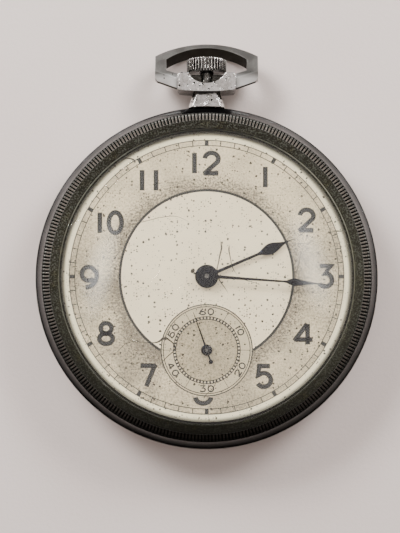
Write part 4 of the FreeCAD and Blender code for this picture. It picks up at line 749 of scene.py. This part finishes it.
class WATCH_OT_stage(bpy.types.Operator):
    """Lay the paper, and set the lamps and the camera"""
    bl_idname = "watch.stage"
    bl_label = "Stage"

    def execute(self, context):
        builder = bmesh.new()
        bmesh.ops.create_grid(builder, x_segments=8, y_segments=8, size=0.9)
        mesh = bpy.data.meshes.new("paper")
        builder.to_mesh(mesh)
        builder.free()
        mesh.materials.append(laid_paper())
        paper = bpy.data.objects.new("paper", mesh)
        paper.location.z = cad_bounds[0][2] - 0.05 * MM
        context.scene.collection.objects.link(paper)

        aim = Vector((-0.95, 1.6, 4.1)) * MM
        distance = 0.24
        tilt = math.radians(86)
        camera = bpy.data.objects.new("camera", bpy.data.cameras.new("camera"))
        camera.data.lens = 113
        camera.data.clip_start = 0.01
        camera.location = aim + Vector((0, -math.cos(tilt), math.sin(tilt))) * distance
        camera.rotation_euler = (math.radians(90) - tilt, 0, 0)
        context.scene.collection.objects.link(camera)
        context.scene.camera = camera

        # Name, place in mm, width and length in mm, power in watts.
        for name, place, size, power in (
                ("window_left", (-262, 278, 238), (340, 230), 5.0),
                ("window_right", (262, 278, 238), (340, 230), 3.4),
                ("strip_right", (232, 70, 600), (290, 90), 0.16),
                ("strip_left", (-232, 55, 600), (290, 80), 0.13)):
            lamp = bpy.data.lights.new(name, "AREA")
            lamp.shape = "RECTANGLE"
            lamp.size, lamp.size_y = size[0] * MM, size[1] * MM
            lamp.energy = power
            lamp.use_nodes = True
            tree = lamp.node_tree
            spot = add(tree, "NewGeometry").node.outputs["Parametric"]
            off = add(tree, "VectorMath", {0: spot, 1: (0.5, 0.5, 0)}, operation="DISTANCE"
                      ).node.outputs["Value"]
            glow = add(tree, "MapRange", {"Value": off, "From Min": 0.5, "From Max": 0.1,
                                          "To Max": 2.2}, interpolation_type="SMOOTHSTEP")
            tree.links.new(glow, tree.nodes["Emission"].inputs["Strength"])
            item = bpy.data.objects.new(name, lamp)
            item.location = Vector(place) * MM
            item.rotation_euler = (item.location - aim).to_track_quat("Z", "Y").to_euler()
            context.scene.collection.objects.link(item)

        world = bpy.data.worlds.new("room")
        world.use_nodes = True
        tree = world.node_tree
        way = add(tree, "TexCoord").node.outputs["Generated"]
        height = add(tree, "SeparateXYZ", {"Vector": way}).node.outputs["Z"]
        bright = add(tree, "MapRange", {"Value": height, "From Min": 0.55, "From Max": 1.0,
                                        "To Min": 0.2, "To Max": 1.1},
                     interpolation_type="SMOOTHSTEP")
        room = tree.nodes["Background"].inputs
        room["Color"].default_value = linear("#e6dedb")
        tree.links.new(bright, room["Strength"])
        context.scene.world = world
        return {"FINISHED"}


class WATCH_OT_case(bpy.types.Operator):
    """Finish the case middle and the back"""
    bl_idname = "watch.case"
    bl_label = "Case"

    def execute(self, context):
        dress(worn_nickel(), "case_middle", "back_cover")
        return {"FINISHED"}


class WATCH_OT_bezel(bpy.types.Operator):
    """Cut the bezel, with its ring of reeds"""
    bl_idname = "watch.bezel"
    bl_label = "Bezel"

    def execute(self, context):
        low, high = BEZEL_LOW[2], BEZEL_HIGH[2]
        neck, sight, bore = 22.68 * MM, 20.5 * MM, 21.05 * MM
        outer = bulge((CASE_WIDEST, low), (REED_OUTER, low + REED_FOOT), 2.6 * MM, 10)
        outer = sorted(outer, key=lambda point: -point[0])
        reeded = [(REED_OUTER + (REED_INNER - REED_OUTER) * i / 10,
                   low + REED_FOOT + (high - low - REED_FOOT) * i / 10)
                  for i in range(1, 11)]
        inner = [(22.22 * MM, high - 0.02 * MM), (21.15 * MM, high - 0.28 * MM),
                 (bore, high - 0.36 * MM), (bore, low + 1.4 * MM),
                 (sight, low + 1.4 * MM), (sight, low + 1.08 * MM),
                 (neck, low + 1.08 * MM), (neck, low)]
        profile = outer + reeded + inner
        first = len(outer)
        per_reed = 6
        reeds = sizes().reed_count

        def cut_reed(index, step):
            radius, height = profile[index]
            along = (index - first + 1) / len(reeded)
            if index < first or along > 1:
                return radius, height
            fade = min(1, along * 2.5, (1 - along) * 14)
            groove = 0.5 - 0.5 * math.cos(math.tau * (step % per_reed) / per_reed)
            depth = sizes().reed_depth * fade * groove
            return radius - depth * 0.5, height - depth * 0.85

        builder = bmesh.new()
        lathe(builder, profile, reeds * per_reed, cut_reed)
        new_piece("reeded_bezel", builder, "front", reeded_nickel(),
                  "bezel", 25)
        return {"FINISHED"}


class WATCH_OT_crystal(bpy.types.Operator):
    """Mould the domed crystal"""
    bl_idname = "watch.crystal"
    bl_label = "Crystal"

    def execute(self, context):
        base, top = GLASS_LOW[2], GLASS_HIGH[2]
        outer, inner = GLASS_HIGH[0], GLASS_HIGH[0] - 0.45 * MM
        shoulder, wall, seat = base + 1.25 * MM, 0.9 * MM, base + 0.55 * MM
        rise = top - shoulder
        radius = (outer ** 2 + rise ** 2) / (2 * rise)
        inner_rise = top - wall - seat
        inner_radius = (inner ** 2 + inner_rise ** 2) / (2 * inner_rise)
        dome = [(outer * math.cos(t), top - radius + math.sqrt(
            radius ** 2 - (outer * math.cos(t)) ** 2))
                for t in (math.pi / 2 * i / 28 for i in range(29))]
        under = [(inner * math.sin(t), top - wall - inner_radius + math.sqrt(
            inner_radius ** 2 - (inner * math.sin(t)) ** 2))
                 for t in (math.pi / 2 * i / 28 for i in range(29))]
        dome[0] = (outer, shoulder - 0.12 * MM)
        dome.insert(1, (outer - 0.04 * MM, shoulder - 0.03 * MM))
        dome[-1], under[0] = (0, top), (0, top - wall)
        builder = bmesh.new()
        lathe(builder, [(inner, base), (outer, base)] + dome + under, 192)
        new_piece("domed_crystal", builder, "front", clear_acrylic(),
                  "crystal", 40)
        return {"FINISHED"}


class WATCH_OT_fittings(bpy.types.Operator):
    """Finish the pendant, bow and crown"""
    bl_idname = "watch.fittings"
    bl_label = "Pendant, bow and crown"

    def execute(self, context):
        bright = pitted_chrome()
        dress(bright, "pendant", "crown")
        dress(brushed_chrome(), "bow")
        return {"FINISHED"}


class WATCH_OT_dial(bpy.types.Operator):
    """Silver the dial and print its hours and minute track"""
    bl_idname = "watch.dial"
    bl_label = "Dial"

    def execute(self, context):
        dress(silvered_dial(), "dial")
        ink = printed_ink()
        low, high = DIAL_TOP - 0.01 * MM, DIAL_TOP + sizes().ink_height
        outer, inner = sizes().track_outer, sizes().track_inner
        builder = bmesh.new()
        for radius in (outer, inner):
            stroke(builder, arc((0, 0), (radius, radius), 0, 360, 240), 0.11 * MM, low, high,
                   True)
        for minute in range(60):
            wide = 0.55 if minute % 5 == 0 else 0.13
            stroke(builder, [polar(inner, minute * 6), polar(outer, minute * 6)], wide * MM,
                   low, high)
        new_piece("minute_track", builder, "case", ink)

        builder = bmesh.new()
        circle = sizes().dial_circle
        clear = sizes().seconds_border + 0.12 * MM
        reach = math.hypot(*SECONDS_CENTRE)
        gap = math.degrees(math.acos((circle ** 2 + reach ** 2 - clear ** 2)
                                     / (2 * circle * reach)))
        stroke(builder, arc((0, 0), (circle, circle), gap - 90, 270 - gap, 160), 0.36 * MM,
               low, high)
        new_piece("dial_circle", builder, "case", ink)

        builder = bmesh.new()
        width = sizes().numeral_stroke
        # Numeral, centre in mm, digit width and gap between digits in mm.
        for text, centre, digit, space in (
                ("12", (-0.03, 16.16), 2.62, 0.78), ("1", (8.33, 14.15), 2.6, 0),
                ("2", (14.18, 8.03), 2.6, 0), ("3", (16.8, 0.03), 2.6, 0),
                ("4", (13.75, -8.15), 3.1, 0), ("5", (8.08, -14.1), 2.65, 0),
                ("7", (-8.35, -14.05), 2.7, 0), ("8", (-14.2, -8.05), 2.6, 0),
                ("9", (-16.6, -0.1), 2.8, 0), ("10", (-13.6, 7.65), 2.5, 0.6),
                ("11", (-8.18, 13.7), 2.6, 1.3)):
            numeral(builder, text, (centre[0] * MM, centre[1] * MM),
                    (digit * MM, sizes().numeral_height), width, low, high,
                    gap=space / digit)
        stroke(builder, arc((-0.5 * MM, -16.95 * MM), (1.1 * MM, 0.95 * MM), 185, 355, 20),
               width, low, high)
        new_piece("hour_numerals", builder, "case", ink)
        return {"FINISHED"}


class WATCH_OT_small_seconds(bpy.types.Operator):
    """Print the small seconds dial"""
    bl_idname = "watch.small_seconds"
    bl_label = "Small seconds"

    def execute(self, context):
        ink = bpy.data.materials["printing_ink_black"]
        high = DIAL_TOP + sizes().ink_height
        low = DIAL_TOP - 0.01 * MM
        centre = SECONDS_CENTRE
        border = sizes().seconds_border
        rim, outer, inner = border - 0.31 * MM, 4.73 * MM, SECONDS_INNER
        builder = bmesh.new()
        for radius, width in ((border, 0.15), (rim, 0.11), (outer, 0.11), (inner, 0.11)):
            stroke(builder, arc(centre, (radius, radius), 0, 360, 160), width * MM, low, high,
                   True)
        for second in range(60):
            stroke(builder, [polar(inner, second * 6, centre), polar(outer, second * 6,
                                                                     centre)],
                   0.24 * MM, low, high)
        for second in range(5, 60, 10):
            stroke(builder, [polar(outer, second * 6, centre), polar(rim, second * 6,
                                                                     centre)],
                   0.06 * MM, low, high)
        new_piece("seconds_track", builder, "case", ink)

        builder = bmesh.new()
        for second in range(10, 70, 10):
            turn = second * 6
            upright = turn - 180 if 20 <= second <= 40 else turn
            numeral(builder, str(second), polar((outer + rim) / 2, turn, centre),
                    (0.95 * MM, 1.02 * MM), 0.19 * MM, low, high, upright)
        new_piece("seconds_numerals", builder, "case", ink)
        return {"FINISHED"}


class WATCH_OT_hands(bpy.types.Operator):
    """Make the three blued hands"""
    bl_idname = "watch.hands"
    bl_label = "Hands"

    def execute(self, context):
        steel = blued_steel()
        dress(steel, "cannon_pinion")
        low = {name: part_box(name)[0][2] for name in ("hour_hand", "minute_hand",
                                                     "seconds_hand")}
        top = {name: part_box(name)[1][2] for name in low}
        z, up = low["hour_hand"], top["hour_hand"]
        hand("pear_hour_hand", "hour_wheel", "hour_hand", steel, -66.7,
             [(1.1, 0.24), (4, 0.21), (7.9, 0.19), (8.3, 0.28), (8.8, 0.5), (9.3, 0.7),
              (9.8, 0.8), (10.4, 0.72), (11, 0.5), (11.5, 0.31), (11.9, 0.2), (12.3, 0.13),
              (13.1, 0.07), (13.45, 0.02)], (z, z + 0.18 * MM),
             [(1.01, z), (1.6, z), (1.65, z + 0.06 * MM), (1.6, z + 0.18 * MM),
              (1.5, up), (1.01, up)])
        z, up = low["minute_hand"], top["minute_hand"]
        hand("leaf_minute_hand", "centre", "minute_hand", steel, -94.0,
             [(0.9, 0.25), (5, 0.19), (10.9, 0.13), (11.3, 0.18), (11.7, 0.38),
              (12.3, 0.55), (13, 0.48), (13.8, 0.32), (14.7, 0.18), (15.4, 0.11),
              (16.8, 0.06), (18.65, 0.02)], (z, z + 0.16 * MM),
             [(0.63, z), (1.3, z), (1.35, z + 0.08 * MM), (1.28, z + 0.18 * MM),
              (1.05, up), (0.92, up - 0.03 * MM), (0.8, up), (0.63, up)])
        z, up = low["seconds_hand"], top["seconds_hand"]
        hand("small_seconds_hand", "fourth", "seconds_hand", steel, 19.5,
             [(-2.06, 0.05), (-2.0, 0.19), (-1.88, 0.28), (-1.74, 0.31), (-1.6, 0.27),
              (-1.48, 0.16), (-1.38, 0.1), (0, 0.14), (2.5, 0.1), (5.65, 0.03)],
             (z, z + 0.1 * MM),
             [(0.21, z), (0.76, z), (0.8, z + 0.05 * MM), (0.72, z + 0.12 * MM),
              (0.45, up), (0.21, up)], SECONDS_CENTRE)
        return {"FINISHED"}


class WATCH_OT_movement(bpy.types.Operator):
    """Finish the plates, wheels, springs, screws and jewels"""
    bl_idname = "watch.movement"
    bl_label = "Movement"

    def execute(self, context):
        dress(striped_nickel(), "main_plate", "barrel_bridge", "train_bridge",
              "balance_cock", "pallet_cock", "minute_work_cover")
        dress(cut_metal("gilt_brass_lapped", colours().gilding, "#a8873f", 0.08 * MM, 0.2,
                        0.18, 0.34, 0.004 * MM),
              "barrel_drum", "barrel_cover", "centre_wheel", "third_wheel", "fourth_wheel",
              "balance_wheel", "balance_screws", "minute_wheel", "hour_wheel")
        dress(cut_metal("hardened_steel_polished", colours().steel, "#7c7a78", 0.07 * MM,
                        0.15, 0.14, 0.3, 0.003 * MM),
              "winding_stem", "winding_pinion", "sliding_pinion", "setting_lever", "yoke",
              "setting_wheel", "intermediate_wheel", "ratchet_wheel",
              "crown_wheel", "ratchet_screw", "crown_wheel_screw", "click",
              "barrel_arbor", "centre_pinion", "third_pinion", "fourth_pinion",
              "escape_pinion", "escape_wheel", "pallet_fork", "balance_staff",
              "bridge_screws", "case_screws", "dial_screws", "regulator")
        dress(cut_metal("spring_steel_blued", linear("#2a3a6a"), "#3a3550", 0.06 * MM, 0.2,
                        0.16, 0.3, 0.002 * MM),
              "mainspring", "hairspring", "yoke_spring", "click_spring")
        dress(synthetic_ruby(), "pallet_stones", "roller_jewel", "bridge_jewels",
              "cock_jewel", "plate_jewels")
        return {"FINISHED"}


STEPS = (WATCH_OT_stage, WATCH_OT_case, WATCH_OT_bezel, WATCH_OT_crystal,
         WATCH_OT_fittings, WATCH_OT_dial, WATCH_OT_small_seconds, WATCH_OT_hands,
         WATCH_OT_movement)


class WATCH_PT_panel(bpy.types.Panel):
    """Lists the steps of finishing the watch"""
    bl_idname = "WATCH_PT_panel"
    bl_label = "Pocket Watch"
    bl_space_type = "VIEW_3D"
    bl_region_type = "UI"
    bl_category = "Pocket Watch"

    def draw(self, context):
        for step in STEPS:
            self.layout.operator(step.bl_idname)
        for group in (context.scene.watch_sizes, context.scene.watch_colours):
            for name in group.__annotations__:
                self.layout.prop(group, name)


CLASSES = (WatchSizes, WatchColours) + STEPS + (WATCH_PT_panel,)


def register():
    for item in CLASSES:
        bpy.utils.register_class(item)
    bpy.types.Scene.watch_sizes = bpy.props.PointerProperty(type=WatchSizes)
    bpy.types.Scene.watch_colours = bpy.props.PointerProperty(type=WatchColours)


def unregister():
    del bpy.types.Scene.watch_sizes, bpy.types.Scene.watch_colours
    for item in reversed(CLASSES):
        bpy.utils.unregister_class(item)


def main():
    register()
    for step in STEPS:
        group, name = step.bl_idname.split(".")
        if getattr(getattr(bpy.ops, group), name)() != {"FINISHED"}:
            raise RuntimeError(f"{step.bl_label} was not finished")


if __name__ == "__main__":
    main()
